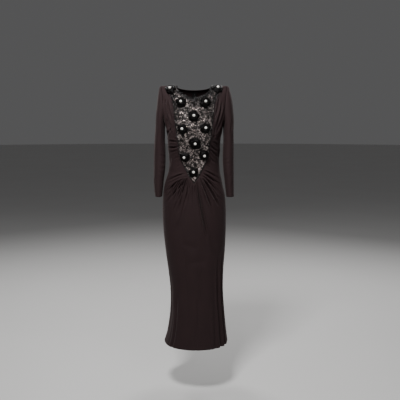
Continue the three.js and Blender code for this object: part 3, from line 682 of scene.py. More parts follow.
def skirt_front_panel():
    """Grid lines start close together on the top edge, run out evenly and then hang straight."""
    half = finer(SKIRT_COLUMNS)
    c = np.concatenate([-half[:0:-1], half])
    start = np.where((c < 0)[:, None], skirt_start(c, -1), skirt_start(c, 1))
    fall = skirt_rows(9)[:, None]
    height = mix(-start[:, 1] ** 2, HEM, fall)
    drop = -start[:, 1] ** 2 - height
    reach = drop / mix(*FAN_DROP, np.abs(c) ** 3)
    fanned = reach / (1 + reach**4) ** 0.25
    places = np.stack([mix(start[:, 0], c * SIDE, fanned), np.sqrt(-height)], -1)
    return panel(places, c[None, :], drop)


def skirt_back_panel(side):
    """From the back waist down to the hem, each grid line at one angle."""
    top = back_waist(8 * FINER)
    fall = skirt_rows(7)[:, None]
    height = mix(-top[:, 1] ** 2, HEM, fall)
    places = np.stack([side * top[:, 0] + 0 * height, -np.sqrt(-height)], -1)
    return panel(places, side * top[None, :, 0] / SIDE, -top[:, 1] ** 2 - height)


def with_close_lines(fields, point_of, edges):
    """Adds lines of points at the ROLL distances from the named edges."""
    views = {
        "top": lambda f: f,
        "bottom": lambda f: f[::-1],
        "left": lambda f: f.swapaxes(0, 1),
        "right": lambda f: f.swapaxes(0, 1)[::-1],
    }
    back = {**views, "right": lambda f: f[::-1].swapaxes(0, 1)}
    for edge in edges:
        turned = views[edge](fields)
        first, second = turned[0], turned[1]
        apart = np.linalg.norm(point_of(second) - point_of(first), axis=-1)
        lines = []
        for k, distance in enumerate(ROLL):
            share = np.minimum(distance / np.maximum(apart, 1e-6), 0.24 * k)
            line = mix(first, second, share[:, None])
            line[:, -1] = np.minimum(second[:, -1], share * apart)
            lines.append(line)
        fields = back[edge](np.concatenate([np.stack(lines), turned[1:]]))
    return fields


def rolled_in(distance):
    """Lift of the cloth near an edge, where it turns in to its seam or hem."""
    return -ROLL_SINK * np.clip(1 - distance / ROLL[-1], 0, 1) ** 2


# Folds


def soft(share):
    """Smooth rise from 0 to 1."""
    f = np.clip(share, 0, 1)
    return f * f * (3 - 2 * f)


def valley(off):
    """A steep valley, 1 deep, with a broad round ridge at each side."""
    ridges = np.exp(-(((off - 1.7) / 1.1) ** 2)) + np.exp(-(((off + 1.7) / 1.1) ** 2))
    return 0.5 * ridges - np.exp(-1.2 * np.abs(off) ** 1.5)


def skirt_fold_lift(c, drop):
    """The front skirt's folds, each soft at both ends."""
    lift = 0
    for fold in rows_of(SKIRT_FOLDS):
        shape = valley((c - fold["place"]) / fold["width"])
        if fold["begin"] == 0:
            opening = np.clip(0.2 + drop / SEAM_OPENING, 0, 1)
        else:
            opening = soft((drop - fold["begin"]) / HANGING_OPENING)
        closing = (fold["end"] - drop) / (0.6 * (fold["end"] - fold["begin"]))
        lift = lift + fold["depth"] * shape * opening * soft(closing)
    return lift


def crease_lift(creases, across, along):
    """Folds drawn from point to point: the distance off the bowed line shapes the valley, and
    both ends fade out."""
    lift = 0
    for row in rows_of(creases):
        run_x, run_z = row["x1"] - row["x0"], row["z1"] - row["z0"]
        length = math.hypot(run_x, run_z)
        s = ((across - row["x0"]) * run_x + (along - row["z0"]) * run_z) / length**2
        off = ((across - row["x0"]) * run_z - (along - row["z0"]) * run_x) / length
        off = off - row["bow"] * 4 * s * (1 - s)
        shape = valley(off / (row["width"] * (0.8 + 0.4 * np.clip(s, 0, 1))))
        lift = lift + row["depth"] * shape * soft(s / 0.3) * soft((1 - s) / 0.45)
    return lift


def unevenness(point):
    """Slow swells of under a millimetre, as hanging jersey has."""
    x, y, z = point[..., 0], point[..., 1], point[..., 2]
    swell = np.sin(x / 17 + z / 43 + 1.2) * np.sin(z / 31 - y / 23)
    return 0.35 * swell + 0.25 * np.sin(z / 67 + x / 29 - 0.7) * np.sin(y / 19 + x / 37)


# Meshes


def closed_shell(outer, inner, uv, tube=False):
    """Points, four-sided faces and their UV corners of a wall between two matching grids. A
    tube's last column joins its first."""
    rows, columns = outer.shape[:2]
    cells = columns if tube else columns - 1

    def quads(j, i, layer, order):
        corners = np.stack([(j, i), (j + 1, i), (j + 1, i + 1), (j, i + 1)])[list(order)]
        number = layer * rows * columns + corners[:, 0] * columns + corners[:, 1] % columns
        return number.T, uv[corners[:, 0], corners[:, 1]].swapaxes(0, 1)

    def rim(j0, i0, j1, i1):
        first = j0 * columns + i0 % columns
        second = j1 * columns + i1 % columns
        below = rows * columns
        number = np.stack([first, first + below, second + below, second], -1)
        ends = uv[j0, i0], uv[j0, i0], uv[j1, i1], uv[j1, i1]
        return number, np.stack(ends, 1)

    j, i = (a.ravel() for a in np.meshgrid(np.arange(rows - 1), np.arange(cells), indexing="ij"))
    across, down = np.arange(cells), np.arange(rows - 1)
    top, bottom = np.zeros_like(across), np.full_like(across, rows - 1)
    parts = [
        quads(j, i, 0, (0, 1, 2, 3)),
        quads(j, i, 1, (0, 3, 2, 1)),
        rim(top, across + 1, top, across),
        rim(bottom, across, bottom, across + 1),
    ]
    if not tube:
        left, right = np.zeros_like(down), np.full_like(down, columns - 1)
        parts += [rim(down, left, down + 1, left), rim(down + 1, right, down, right)]
    points = np.concatenate([outer.reshape(-1, 3), inner.reshape(-1, 3)])
    faces = np.concatenate([part[0] for part in parts])
    corners = np.concatenate([part[1] for part in parts])
    return facing_out(points, faces, corners)


def volume_of(points, faces):
    """Six times the volume that the faces enclose, fanned from each face's first corner."""
    a = points[faces[:, 0]]
    total = 0
    for k in range(1, faces.shape[1] - 1):
        total += np.einsum("ij,ij->", a, np.cross(points[faces[:, k]], points[faces[:, k + 1]]))
    return total


def facing_out(points, faces, corners):
    """The faces turned round where they would enclose less than nothing."""
    if volume_of(points, faces) < 0:
        return points, faces[:, ::-1], corners[:, ::-1]
    return points, faces, corners


def joined(shapes):
    """Several (points, faces, corner values) as one."""
    starts = np.cumsum([0] + [len(points) for points, _, _ in shapes[:-1]])
    return (
        np.concatenate([points for points, _, _ in shapes]),
        np.concatenate([faces + start for (_, faces, _), start in zip(shapes, starts)]),
        np.concatenate([corners for _, _, corners in shapes]),
    )


def piece(name, shape, finish, body="gown", replaced=(), tone=None, crease_angle=50):
    """A finished mesh object that rides on a body and stands for the named CAD nodes."""
    points, faces, corners = shape
    mesh = bpy.data.meshes.new(name)
    mesh.vertices.add(len(points))
    mesh.vertices.foreach_set("co", (points * MM).astype(np.float32).ravel())
    mesh.loops.add(faces.size)
    mesh.loops.foreach_set("vertex_index", faces.astype(np.int32).ravel())
    mesh.polygons.add(len(faces))
    starts = np.arange(len(faces), dtype=np.int32) * faces.shape[1]
    mesh.polygons.foreach_set("loop_start", starts)
    mesh.update(calc_edges=True)
    if corners is not None:
        layer = mesh.uv_layers.new(name="cloth")
        layer.data.foreach_set("uv", corners.astype(np.float32).ravel())
    if tone is not None:
        shade = mesh.attributes.new("tone", "FLOAT", "POINT")
        shade.data.foreach_set("value", tone.astype(np.float32))
    mesh.shade_smooth()
    mesh.set_sharp_from_angle(angle=math.radians(crease_angle))
    mesh.materials.append(finish.material)
    made = bpy.data.objects.new(name, mesh)
    bpy.context.scene.collection.objects.link(made)
    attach(made, body)
    if replaced:
        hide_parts(*replaced)
    return made


def cloth_uv(points):
    """Metres across and down a grid, from its mean column and row distances."""
    across = np.linalg.norm(np.diff(points, axis=1), axis=-1).mean(0)
    down = np.linalg.norm(np.diff(points, axis=0), axis=-1).mean(1)
    u = np.concatenate([[0], np.cumsum(across)]) * MM
    v = np.concatenate([[0], np.cumsum(down)]) * MM
    return np.stack(np.broadcast_arrays(u[None, :], v[:, None]), -1)


def hem_thickness(distance):
    """The cloth, and below the turned hem's top a second layer of it."""
    return CLOTH * (1 + 1.1 * soft((TURNED_HEM - distance) / HEM_STEP))


def hem_dent(distance):
    """Shallow line that the hem's stitches draw."""
    return -STITCH_DENT * np.exp(-(((distance - TURNED_HEM + 1) / 1.3) ** 2))


def panel_shell(fields, lift, thickness=CLOTH):
    """Outer and inner grids of a panel: lifted off the gown along its outward direction."""
    angle, depth, distance = fields[..., 0], fields[..., 1], fields[..., 4]
    base = gown_point(angle, depth)
    out = gown_normal(angle, depth)
    outer = base + out * (lift(fields, base) + rolled_in(distance))[..., None]
    inner = outer - out * np.broadcast_to(thickness, distance.shape)[..., None]
    return closed_shell(outer, inner, cloth_uv(outer))


def place_of(fields):
    """Gown points of a panel's fields."""
    return gown_point(fields[..., 0], fields[..., 1])


EDGES = ("top", "bottom", "left", "right")


# Finishes


class Value:
    """A socket of a finish's nodes. An operator on it adds a Math node."""

    def __init__(self, finish, socket):
        self.finish = finish
        self.socket = socket

    def math(self, operation, *values):
        return self.finish.node("ShaderNodeMath", {"operation": operation}, dict(enumerate(values)))

    def __add__(self, other):
        return self.math("ADD", self, other)

    def __sub__(self, other):
        return self.math("SUBTRACT", self, other)

    def __rsub__(self, other):
        return self.math("SUBTRACT", other, self)

    def __mul__(self, other):
        return self.math("MULTIPLY", self, other)

    def __pow__(self, other):
        return self.math("POWER", self, other)

    def sine(self):
        return self.math("SINE", self)

    def size(self):
        return self.math("ABSOLUTE", self)

    def rest(self):
        return self.math("FRACT", self)

    __radd__ = __add__
    __rmul__ = __mul__


class Finish:
    """A material: its surface's constants, and the nodes that vary it."""

    def __init__(self, name, **constants):
        self.material = bpy.data.materials.new(name)
        self.material.use_nodes = True
        self.tree = self.material.node_tree
        self.surface = self.tree.nodes["Principled BSDF"]
        for socket, value in constants.items():
            self.surface.inputs[socket.replace("_", " ")].default_value = value

    def node(self, kind, settings=None, inputs=None, output=0):
        """A node of any type: its settings first, then the values or links of its sockets."""
        made = self.tree.nodes.new(kind)
        for setting, value in (settings or {}).items():
            setattr(made, setting, value)
        for socket, value in (inputs or {}).items():
            self.feed(made.inputs[socket], value)
        return Value(self, made.outputs[output])

    def feed(self, socket, value):
        if isinstance(value, Value):
            self.tree.links.new(value.socket, socket)
        else:
            socket.default_value = value

    def vary(self, socket, value):
        self.feed(self.surface.inputs[socket], value)

    def colour(self, share, first, second):
        """Colour between two, by a share."""
        ends = {0: share, 6: (*first, 1), 7: (*second, 1)}
        return self.node("ShaderNodeMix", {"data_type": "RGBA"}, ends, output=2)

    def relief(self, height, reach, strength=1.0):
        """Height from 0 to 1 as a bump of that reach in metres."""
        inputs = {"Height": height, "Distance": reach, "Strength": strength}
        self.vary("Normal", self.node("ShaderNodeBump", None, inputs))

    def clouds(self, size, detail=2.0, roughness=0.5):
        """Noise of about that size in metres, fixed to the object."""
        place = self.node("ShaderNodeTexCoord", output="Object")
        settings = {"Vector": place, "Scale": 1 / size, "Detail": detail, "Roughness": roughness}
        return self.node("ShaderNodeTexNoise", None, settings)

    def across_and_down(self):
        """The cloth's own UV, in metres."""
        place = self.node("ShaderNodeUVMap", {"uv_map": "cloth"})
        parts = self.node("ShaderNodeSeparateXYZ", None, {0: place})
        return parts, Value(self, parts.socket.node.outputs[1])

    def tone(self):
        """Each bead's own shade, from its attribute."""
        return self.node("ShaderNodeAttribute", {"attribute_name": "tone"}, output="Fac")


def knitted(finish, wale, course):
    """Plain knit: columns of stitches, each a V that climbs from one row to the next."""
    u, v = finish.across_and_down()
    column = u * (1 / wale)
    side = (column.rest() - 0.5).size()
    row = (v * (1 / course) + side * 0.9).rest()
    rib = (column * math.pi).sine().size()
    return rib * (0.55 + 0.45 * (row * math.pi).sine())


def jersey_finish():
    """Matte crepe jersey: fine knit, a soft bloom at grazing angles, slight unevenness."""
    finish = Finish(
        "black_jersey", Roughness=0.78, Sheen_Weight=0.05, Sheen_Roughness=0.4,
        Sheen_Tint=(1.0, 0.8, 0.78, 1), Specular_IOR_Level=0.15,
    )
    drift = finish.clouds(0.07, 3)
    fuzz = finish.clouds(0.0016, 2, 0.6)
    shade = drift * 0.7 + fuzz * 0.3
    finish.vary("Base Color", finish.colour(shade, (0.018, 0.0100, 0.0106), (0.027, 0.0152, 0.016)))
    finish.vary("Roughness", 0.7 + 0.16 * drift)
    knit = knitted(finish, 0.0011, 0.0009)
    finish.relief(knit * 0.7 + fuzz * 0.3, 0.00022, 0.5)
    return finish


def ground_finish():
    """Black net over jersey under the beads, with a fine mesh."""
    finish = Finish("embroidery_ground", Roughness=0.62, Sheen_Weight=0.05, Specular_IOR_Level=0.3)
    u, v = finish.across_and_down()
    net = ((u + v) * 2200).sine().size() * ((u - v) * 2200).sine().size()
    finish.vary("Base Color", finish.colour(net, (0.018, 0.016, 0.016), (0.007, 0.006, 0.006)))
    finish.relief(net, 0.0003, 0.6)
    return finish


def petal_finish():
    """Black satin petals: a low gloss that drifts over them, with a fine twill."""
    finish = Finish("petal_satin", Sheen_Weight=0.01, Sheen_Roughness=0.3, Specular_IOR_Level=0.07)
    drift = finish.clouds(0.012, 3)
    finish.vary("Base Color", finish.colour(drift, (0.001, 0.0008, 0.0008), (0.0034, 0.0026, 0.0026)))
    finish.vary("Roughness", 0.26 + 0.2 * drift)
    u, v = finish.across_and_down()
    twill = ((u + v * 0.8) * 5200).sine() * 0.5 + 0.5
    finish.relief(twill * 0.4 + drift * 0.6, 0.0006, 0.5)
    return finish


def pearl_finish():
    """Cream pearl under a clear coat, with slow clouds in its lustre."""
    finish = Finish("pearl_lustre", Roughness=0.22, Coat_Weight=0.8, Coat_Roughness=0.06)
    drift = finish.clouds(0.006, 2)
    finish.vary("Base Color", finish.colour(drift, (0.86, 0.82, 0.76), (0.72, 0.70, 0.68)))
    finish.vary("Roughness", 0.18 + 0.14 * drift)
    return finish


def bead_finish(name, dark, light, metal, rough):
    """Glass or metal beads, each with its own tone."""
    finish = Finish(name, Metallic=metal, Specular_IOR_Level=0.6)
    shade = finish.tone()
    finish.vary("Base Color", finish.colour(shade, dark, light))
    finish.vary("Roughness", rough + 0.12 * finish.clouds(0.004, 1))
    return finish


def tape_finish():
    """Woven zip tape: close ribs across its length."""
    finish = Finish("zip_tape_weave", Roughness=0.76, Sheen_Weight=0.04, Specular_IOR_Level=0.2)
    u, v = finish.across_and_down()
    ribs = (v * 4200).sine() * 0.5 + 0.5
    weave = ribs * (0.6 + 0.4 * (u * 5200).sine())
    finish.vary("Base Color", finish.colour(weave, (0.005, 0.0045, 0.0045), (0.012, 0.0105, 0.011)))
    finish.relief(weave, 0.0002, 0.6)
    return finish


def enamel_finish():
    """Black enamel on the zip's slider and pull, worn thin in small spots."""
    finish = Finish("black_enamel", Metallic=0.4, Coat_Weight=0.5, Coat_Roughness=0.15)
    wear = finish.clouds(0.003, 3)
    finish.vary("Base Color", finish.colour(wear ** 3.0, (0.006, 0.0052, 0.0052), (0.12, 0.115, 0.11)))
    finish.vary("Roughness", 0.24 + 0.3 * wear)
    finish.relief(wear, 0.0001, 0.4)
    return finish


def floor_finish():
    """Plain pale floor."""
    finish = Finish("pale_floor", Roughness=0.75)
    grain = finish.clouds(0.9, 4)
    finish.vary("Base Color", finish.colour(grain, (0.64, 0.63, 0.62), (0.69, 0.685, 0.675)))
    return finish


JERSEY = jersey_finish()
GROUND = ground_finish()
PETAL = petal_finish()
PEARL = pearl_finish()
SILVER = bead_finish("silver_lined_beads", (0.012, 0.0105, 0.0105), (0.51, 0.44, 0.42), 0.75, 0.24)
SEQUIN = bead_finish("gunmetal_sequins", (0.004, 0.0034, 0.0034), (0.47, 0.39, 0.37), 0.85, 0.16)
JET = bead_finish("jet_beads", (0.002, 0.0018, 0.0018), (0.02, 0.019, 0.019), 0.1, 0.14)
TAPE = tape_finish()
ENAMEL = enamel_finish()


# Cloth of the bodice and the skirt


def front_lift(base):
    """Folds drawn on the front, and its slow unevenness."""
    return crease_lift(FRONT_CREASES, base[..., 0], base[..., 2]) + unevenness(base)


def hem_distance(base):
    """Height above the hem."""
    return base[..., 2] - HEM


def make_bib():
    """The beads' ground: the bib's panel, with no folds."""
    fields = with_close_lines(bib_panel(), place_of, EDGES)
    shape = panel_shell(fields, lambda f, base: 0 * f[..., 0])
    return piece("cloth_bib", shape, GROUND, replaced=["bib"])


def make_side_front(side, word):
    """The side front's panel, lifted by the folds drawn on the front."""
    fields = with_close_lines(side_front_panel(side), place_of, EDGES)
    shape = panel_shell(fields, lambda f, base: front_lift(base))
    return piece(f"cloth_side_front_{word}", shape, JERSEY, replaced=[f"side_front_{word}"])


def neck_dent(base):
    """Line of the stitches that hold the back neckline's turned edge."""
    x, drop = base[..., 0], -base[..., 2]
    rim = NECK_BACK * np.sqrt(np.clip(1 - (x / NECK_SIDE) ** 2, 0, 1))
    return -STITCH_DENT * np.exp(-(((drop - rim - 7) / 1.2) ** 2)) * (np.abs(x) < NECK_SIDE)


def make_bodice_back(side, word):
    """The back's panel, with its folds fading out towards the centre back."""
    fields = with_close_lines(bodice_back_panel(side), place_of, EDGES)

    def lift(f, base):
        folds = crease_lift(BACK_CREASES, base[..., 0], base[..., 2]) + unevenness(base)
        return folds * soft(f[..., 2] / 0.12) + neck_dent(base)

    return piece(
        f"cloth_bodice_back_{word}", panel_shell(fields, lift), JERSEY,
        replaced=[f"bodice_back_{word}"],
    )


def make_skirt_front():
    """The front skirt's panel: gathers and a puff below the seam, drawn folds and a turned hem."""
    fields = with_close_lines(skirt_front_panel(), place_of, EDGES)
    low = hem_distance(place_of(fields))

    def lift(f, base):
        c, drop = f[..., 2], f[..., 3]
        at_side = np.clip(6 * (1 - np.abs(c)), 0, 1)
        puff = WAIST_PUFF * np.exp(-drop / 50) * mix(0.4, 1, soft((np.abs(c) - 0.2) / 0.2))
        gathers = (skirt_fold_lift(c, drop) + puff) * soft(0.1 + drop / 10)
        return (gathers + front_lift(base)) * at_side + hem_dent(low)

    shape = panel_shell(fields, lift, hem_thickness(low))
    return piece("cloth_skirt_front", shape, JERSEY, replaced=["skirt_front"])


def make_skirt_back(side, word):
    """The back skirt's panel: drawn folds that fade out at its seams, and a turned hem."""
    fields = with_close_lines(skirt_back_panel(side), place_of, EDGES)
    low = hem_distance(place_of(fields))

    def lift(f, base):
        c, drop = np.abs(f[..., 2]), f[..., 3]
        inside = soft(c / 0.06) * soft((1 - c) / 0.12) * soft(0.1 + drop / 14)
        folds = crease_lift(BACK_CREASES, base[..., 0], base[..., 2]) + unevenness(base)
        return folds * inside + hem_dent(low)

    shape = panel_shell(fields, lift, hem_thickness(low))
    return piece(f"cloth_skirt_back_{word}", shape, JERSEY, replaced=[f"skirt_back_{word}"])


# Sleeves


def sleeve_ring(side, z, around):
    """Elliptical ring of the sleeve: around 0 is the outer edge, a quarter turn the front."""
    outer, inner, half_deep, y = (
        smooth_column(-SLEEVE_RINGS["z"], SLEEVE_RINGS[name], -z)
        for name in ("left_outer" if side < 0 else "right_outer", "inner", "half_deep", "y")
    )
    x = (outer + inner) / 2 + (outer - inner) / 2 * np.cos(around)
    return np.stack(np.broadcast_arrays(side * x, y - half_deep * np.sin(around), z), -1)


def armhole_ring(side):
    """Closed ring of points round the armhole, from the shoulder's tip round the front."""
    front = armhole_line()
    places = np.concatenate([front, front[-2:0:-1] * (1, -1)])
    return gown_point(side * places[:, 0], places[:, 1]) + (side * CAP["start"], 0, 0)


def bezier(a, b, c, d, f):
    """Cubic curve from a to d, drawn towards b and c."""
    g = 1 - f
    return g**3 * a + 3 * g * g * f * b + 3 * g * f * f * c + f**3 * d


def sleeve_grid(side):
    """Rows of rings: the cap's curves leave the armhole outwards and end hanging down, and the
    elliptical rings follow below."""
    start = armhole_ring(side)
    around = even_turns(len(start))
    end = sleeve_ring(side, np.full(len(start), SLEEVE_RINGS["z"][0]), around)
    share = (start[:, 2] - UNDERARM) / -UNDERARM
    slack = CAP["left_slack"] if side < 0 else CAP["right_slack"]
    forward = -np.sin(around) * CAP["fullness"] * share
    rise = CAP["rise"] * share - 6 * (1 - share)
    leave = start + np.stack([side * (0.8 + CAP["reach"] * share), forward, rise], -1)
    sideways = side * slack * share * np.maximum(np.cos(around), 0)
    arrive = end + np.stack([sideways, forward, CAP["drop"] * (start[:, 2] - end[:, 2])], -1)
    f = finer(CAP_STEPS, 7)[:, None, None]
    cap = bezier(start, leave, arrive, end, f)
    heights = finer(SLEEVE_RINGS["z"], 8)[1:]
    heights = np.union1d(heights, [CUFF + TURNED_HEM, CUFF + TURNED_HEM - HEM_STEP])[::-1]
    rings = sleeve_ring(side, heights[:, None], around[None, :])
    return np.concatenate([cap, rings]), around


def grid_normal(grid, side):
    """Outward direction of a ring grid, from each point's four neighbours."""
    across = np.roll(grid, -1, 1) - np.roll(grid, 1, 1)
    down = np.gradient(grid, axis=0)
    return side * unit(np.cross(across, down))


def make_sleeve(side, word, creases):
    """A tube on the sleeve's rings, lifted by its folds, the gathers of its head and the cuff's hem."""
    grid, around = sleeve_grid(side)
    run = np.cumsum(np.linalg.norm(np.diff(grid, axis=0), axis=-1), axis=0)
    run = np.concatenate([np.zeros((1, grid.shape[1])), run])
    signed = np.where(around > math.pi, around - TURN, around)
    fields = np.concatenate([grid, run[..., None], np.full((*run.shape, 1), FAR)], -1)
    fields = with_close_lines(fields, lambda f: f[..., :3], ("top", "bottom"))
    points, run, distance = fields[..., :3], fields[..., 3], fields[..., 4]
    radius = np.linalg.norm(points - points.mean(1, keepdims=True), axis=-1).mean(1, keepdims=True)
    arc = np.minimum(radius, 42) * signed
    lift = crease_lift(creases, arc, points[..., 2]) + unevenness(points)
    gathers = 0
    for row in rows_of(CAP_GATHERS):
        off = (signed - math.radians(row["around"])) * 46 / row["width"]
        gathers = gathers + row["depth"] * valley(off) * soft(1 - run / row["length"])
    low = points[..., 2] - CUFF
    lift = (lift + gathers * soft(0.25 + run / 9)) * soft(0.1 + run / 16) + hem_dent(low)
    out = grid_normal(points, side)
    outer = points + out * (lift + rolled_in(distance))[..., None]
    inner = outer - out * hem_thickness(low)[..., None]
    uv = cloth_uv(np.concatenate([outer, outer[:, :1]], 1))
    shape = closed_shell(outer, inner, uv, tube=True)
    return piece(f"cloth_sleeve_{word}", shape, JERSEY, replaced=[f"sleeve_{word}"])


# Places on the bib's cloth: x across, and w up, minus the distance down from the shoulder line.

DOWN_DEPTH = np.linspace(0, math.sqrt(-BIB_TIP), 400)
DOWN = run_along(place_of(spot(60.0, -(DOWN_DEPTH**2))))


def w_of(z):
    """Place up the bib's cloth of a height."""
    return -np.interp(np.sqrt(-z), DOWN_DEPTH, DOWN)


def axes_of(first, out):
    """A direction in the cloth, the one across it, and the outward one."""
    return np.stack([first, np.cross(out, first), out], -2)


def on_bib(x, w, height):
    """Points lifted off the bib's cloth, and the directions across, up and out there."""
    depth = np.interp(-w, DOWN, DOWN_DEPTH)
    angle = angle_of(x, -(depth**2))
    across, out = unit(gown_slopes(angle, depth)[0]), gown_normal(angle, depth)
    points = gown_point(angle, depth) + out * np.asarray(height)[..., None]
    return points, axes_of(across, out)


def inside_bib(x, w, margin):
    """Whether a place lies on the bib, that far inside its edges."""
    z = -(np.interp(-w, DOWN, DOWN_DEPTH) ** 2)
    drops = [-BIB_TURN[1], -BIB_WAIST[1], -BIB_TIP]
    in_point = np.interp(-z, drops, [BIB_TURN[0], BIB_WAIST[0], 0])
    half = np.where(z > BIB_TURN[1], bib_half(np.maximum(z, BIB_TURN[1])), in_point)
    share = np.clip(np.abs(x) / NECK_SIDE, 0, 1)
    top = np.where(np.abs(x) < NECK_SIDE, w_of(-neckline_drop(share)), 0)
    slack = np.where(z > BIB_TURN[1], margin, 1.5 * margin)
    return (np.abs(x) < half - slack) & (w < top - margin) & (-w < DOWN[-1] - margin)


def from_flowers(x, w):
    """Smallest distance to a flower's middle, in its radii."""
    flower_w = w_of(FLOWERS["z"])
    apart = np.hypot(x[..., None] - FLOWERS["x"], w[..., None] - flower_w)
    return (apart / FLOWERS["radius"]).min(-1)


def spaced(line, pitch):
    """Points at an even pitch along a line, and the heading at each."""
    run = run_along(line)
    count = max(int(run[-1] / pitch), 1)
    at = (np.arange(count) + 0.5) * run[-1] / count
    points = np.stack([np.interp(at, run, line[:, k]) for k in (0, 1)], -1)
    ahead = np.stack([np.interp(at + 0.1, run, line[:, k]) for k in (0, 1)], -1)
    heading = np.arctan2(*(ahead - points).T[::-1])
    return np.column_stack([points, heading])


def turned(rows, turn, x, w):
    """Rows of x, w and heading, turned and moved."""
    c, s = math.cos(turn), math.sin(turn)
    return np.column_stack([
        x + c * rows[:, 0] - s * rows[:, 1], w + s * rows[:, 0] + c * rows[:, 1], rows[:, 2] + turn
    ])


SEED = 0.95  # radius of a seed bead
SEED_PITCH = 1.95
COMMA_RADIUS = 4.6


def leaf_beads(length, width, bend):
    """A leaf between two parabolas y = ± w (1 - t²), bent by its own parabola; seeds outline it
    and its vein, and slanted tubes fill it."""
    t = np.linspace(-1, 1, 41)
    x = length / 2 * t
    spine = bend * (1 - t * t)
    edges = [
        spaced(np.column_stack([x, spine + side * width / 2 * (1 - t * t)]), SEED_PITCH)
        for side in (-1, 1)
    ]
    vein = spaced(np.column_stack([x, spine])[4:-4], SEED_PITCH)
    at = np.linspace(-0.62, 0.62, 5)
    tubes = []
    for side in (-1, 1):
        reach = width / 4 * (1 - at * at)
        y = bend * (1 - at * at) + side * reach
        tubes.append(np.column_stack([length / 2 * at, y, np.full(5, side * 0.7)]))
    return np.concatenate([*edges, vein]), np.concatenate(tubes)


def curl_beads(radius, turns):
    """A spiral whose radius grows evenly with its turn."""
    angle = np.linspace(0, turns * TURN, 80)
    reach = 1.6 + (radius - 1.6) * angle / angle[-1]
    return spaced(np.column_stack([reach * np.cos(angle), reach * np.sin(angle)]), SEED_PITCH)


# Shapes that are repeated


def ball_shape():
    """Twenty-sided ball of radius 1."""
    g = (1 + math.sqrt(5)) / 2
    corners = [(-1, g, 0), (1, g, 0), (-1, -g, 0), (1, -g, 0), (0, -1, g), (0, 1, g),
               (0, -1, -g), (0, 1, -g), (g, 0, -1), (g, 0, 1), (-g, 0, -1), (-g, 0, 1)]
    faces = [(0, 11, 5), (0, 5, 1), (0, 1, 7), (0, 7, 10), (0, 10, 11), (1, 5, 9), (5, 11, 4),
             (11, 10, 2), (10, 7, 6), (7, 1, 8), (3, 9, 4), (3, 4, 2), (3, 2, 6), (3, 6, 8),
             (3, 8, 9), (4, 9, 5), (2, 4, 11), (6, 2, 10), (8, 6, 7), (9, 8, 1)]
    return unit(np.array(corners, float)), np.array(faces)


def sequin_shape():
    """Thin cupped disc with six sides: its rim, and a point in front and behind."""
    turn = even_turns(6)
    rim = np.column_stack([np.cos(turn), np.sin(turn), np.full(6, 0.16)])
    corners = np.concatenate([rim, [(0, 0, -0.06), (0, 0, -0.2)]])
    k = np.arange(6)
    front = np.column_stack([k, (k + 1) % 6, np.full(6, 6)])
    behind = np.column_stack([(k + 1) % 6, k, np.full(6, 7)])
    return corners, np.concatenate([front, behind])


def tube_shape():
    """Six-sided tube along x, from -1 to 1, with closed ends."""
    turn = even_turns(6)
    ring_points = np.column_stack([np.cos(turn), np.sin(turn)])
    corners = np.concatenate([np.insert(ring_points, 0, end, axis=1) for end in (-1, 1)])
    k = np.arange(6)
    n = (k + 1) % 6
    sides = np.concatenate([np.column_stack([k, k + 6, n + 6]), np.column_stack([k, n + 6, n])])
    caps = [(0, m, m + 1) for m in range(1, 5)] + [(6, m + 7, m + 6) for m in range(1, 5)]
    shape = corners, np.concatenate([sides, caps])
    return shape if volume_of(*shape) > 0 else (corners, shape[1][:, ::-1])


def round_form(count):
    """Ball of radius 1 from a cube's six square grids, blown up round."""
    side = np.tan(np.linspace(-1, 1, count + 1) * math.pi / 4)
    a, b = np.meshgrid(side, side, indexing="ij")
    one = np.ones_like(a)
    grids = [(one, a, b), (-one, b, a), (b, one, a), (a, -one, b), (a, b, one), (b, a, -one)]
    points = unit(np.concatenate([np.stack(grid, -1).reshape(-1, 3) for grid in grids]))
    j, i = (x.ravel() for x in np.meshgrid(np.arange(count), np.arange(count), indexing="ij"))
    row = count + 1
    quad = np.column_stack([j * row + i, (j + 1) * row + i, (j + 1) * row + i + 1, j * row + i + 1])
    faces = np.concatenate([quad + k * row * row for k in range(6)])
    merged, number = np.unique(np.round(points, 5), axis=0, return_inverse=True)
    return unit(merged), number.reshape(-1)[faces]


def strewn(shape, points, axes, size):
    """Copies of a shape at points, each turned to its three axes and scaled along them."""
    corners, faces = shape
    placed = points[:, None] + np.einsum("vk,nk,nkj->nvj", corners, size, axes)
    numbered = faces[None] + (np.arange(len(points)) * len(corners))[:, None, None]
    return placed.reshape(-1, 3), numbered.reshape(-1, faces.shape[1]), None


def headed(axes, heading):
    """The axes turned in the cloth's plane, so that the first points along the heading."""
    c, s = np.cos(heading)[:, None], np.sin(heading)[:, None]
    first = c * axes[:, 0] + s * axes[:, 1]
    return axes_of(first, axes[:, 2])


def tilted(axes, random, amount):
    """The axes leant over by a small random amount, so that each disc catches its own light."""
    lean = random.normal(0, amount, (len(axes), 2, 1))
    out = unit(axes[:, 2] + lean[:, 0] * axes[:, 0] + lean[:, 1] * axes[:, 1])
    first = unit(axes[:, 0] - out * np.einsum("ij,ij->i", out, axes[:, 0])[:, None])
    return axes_of(first, out)


def repeated(values, shape):
    """One value for each corner of each copy."""
    return np.repeat(values, len(shape[0]))


def bead_piece(name, shape, points, axes, size, tone, finish):
    """Many beads of one shape as one piece."""
    copies, tones = strewn(shape, points, axes, size), repeated(tone, shape)
    return piece(name, copies, finish, tone=tones, crease_angle=80)


# Embroidery


GRAIN_CELL = 5.5  # size of a patch of beads that share a brightness
GRAIN_COUNT = 211


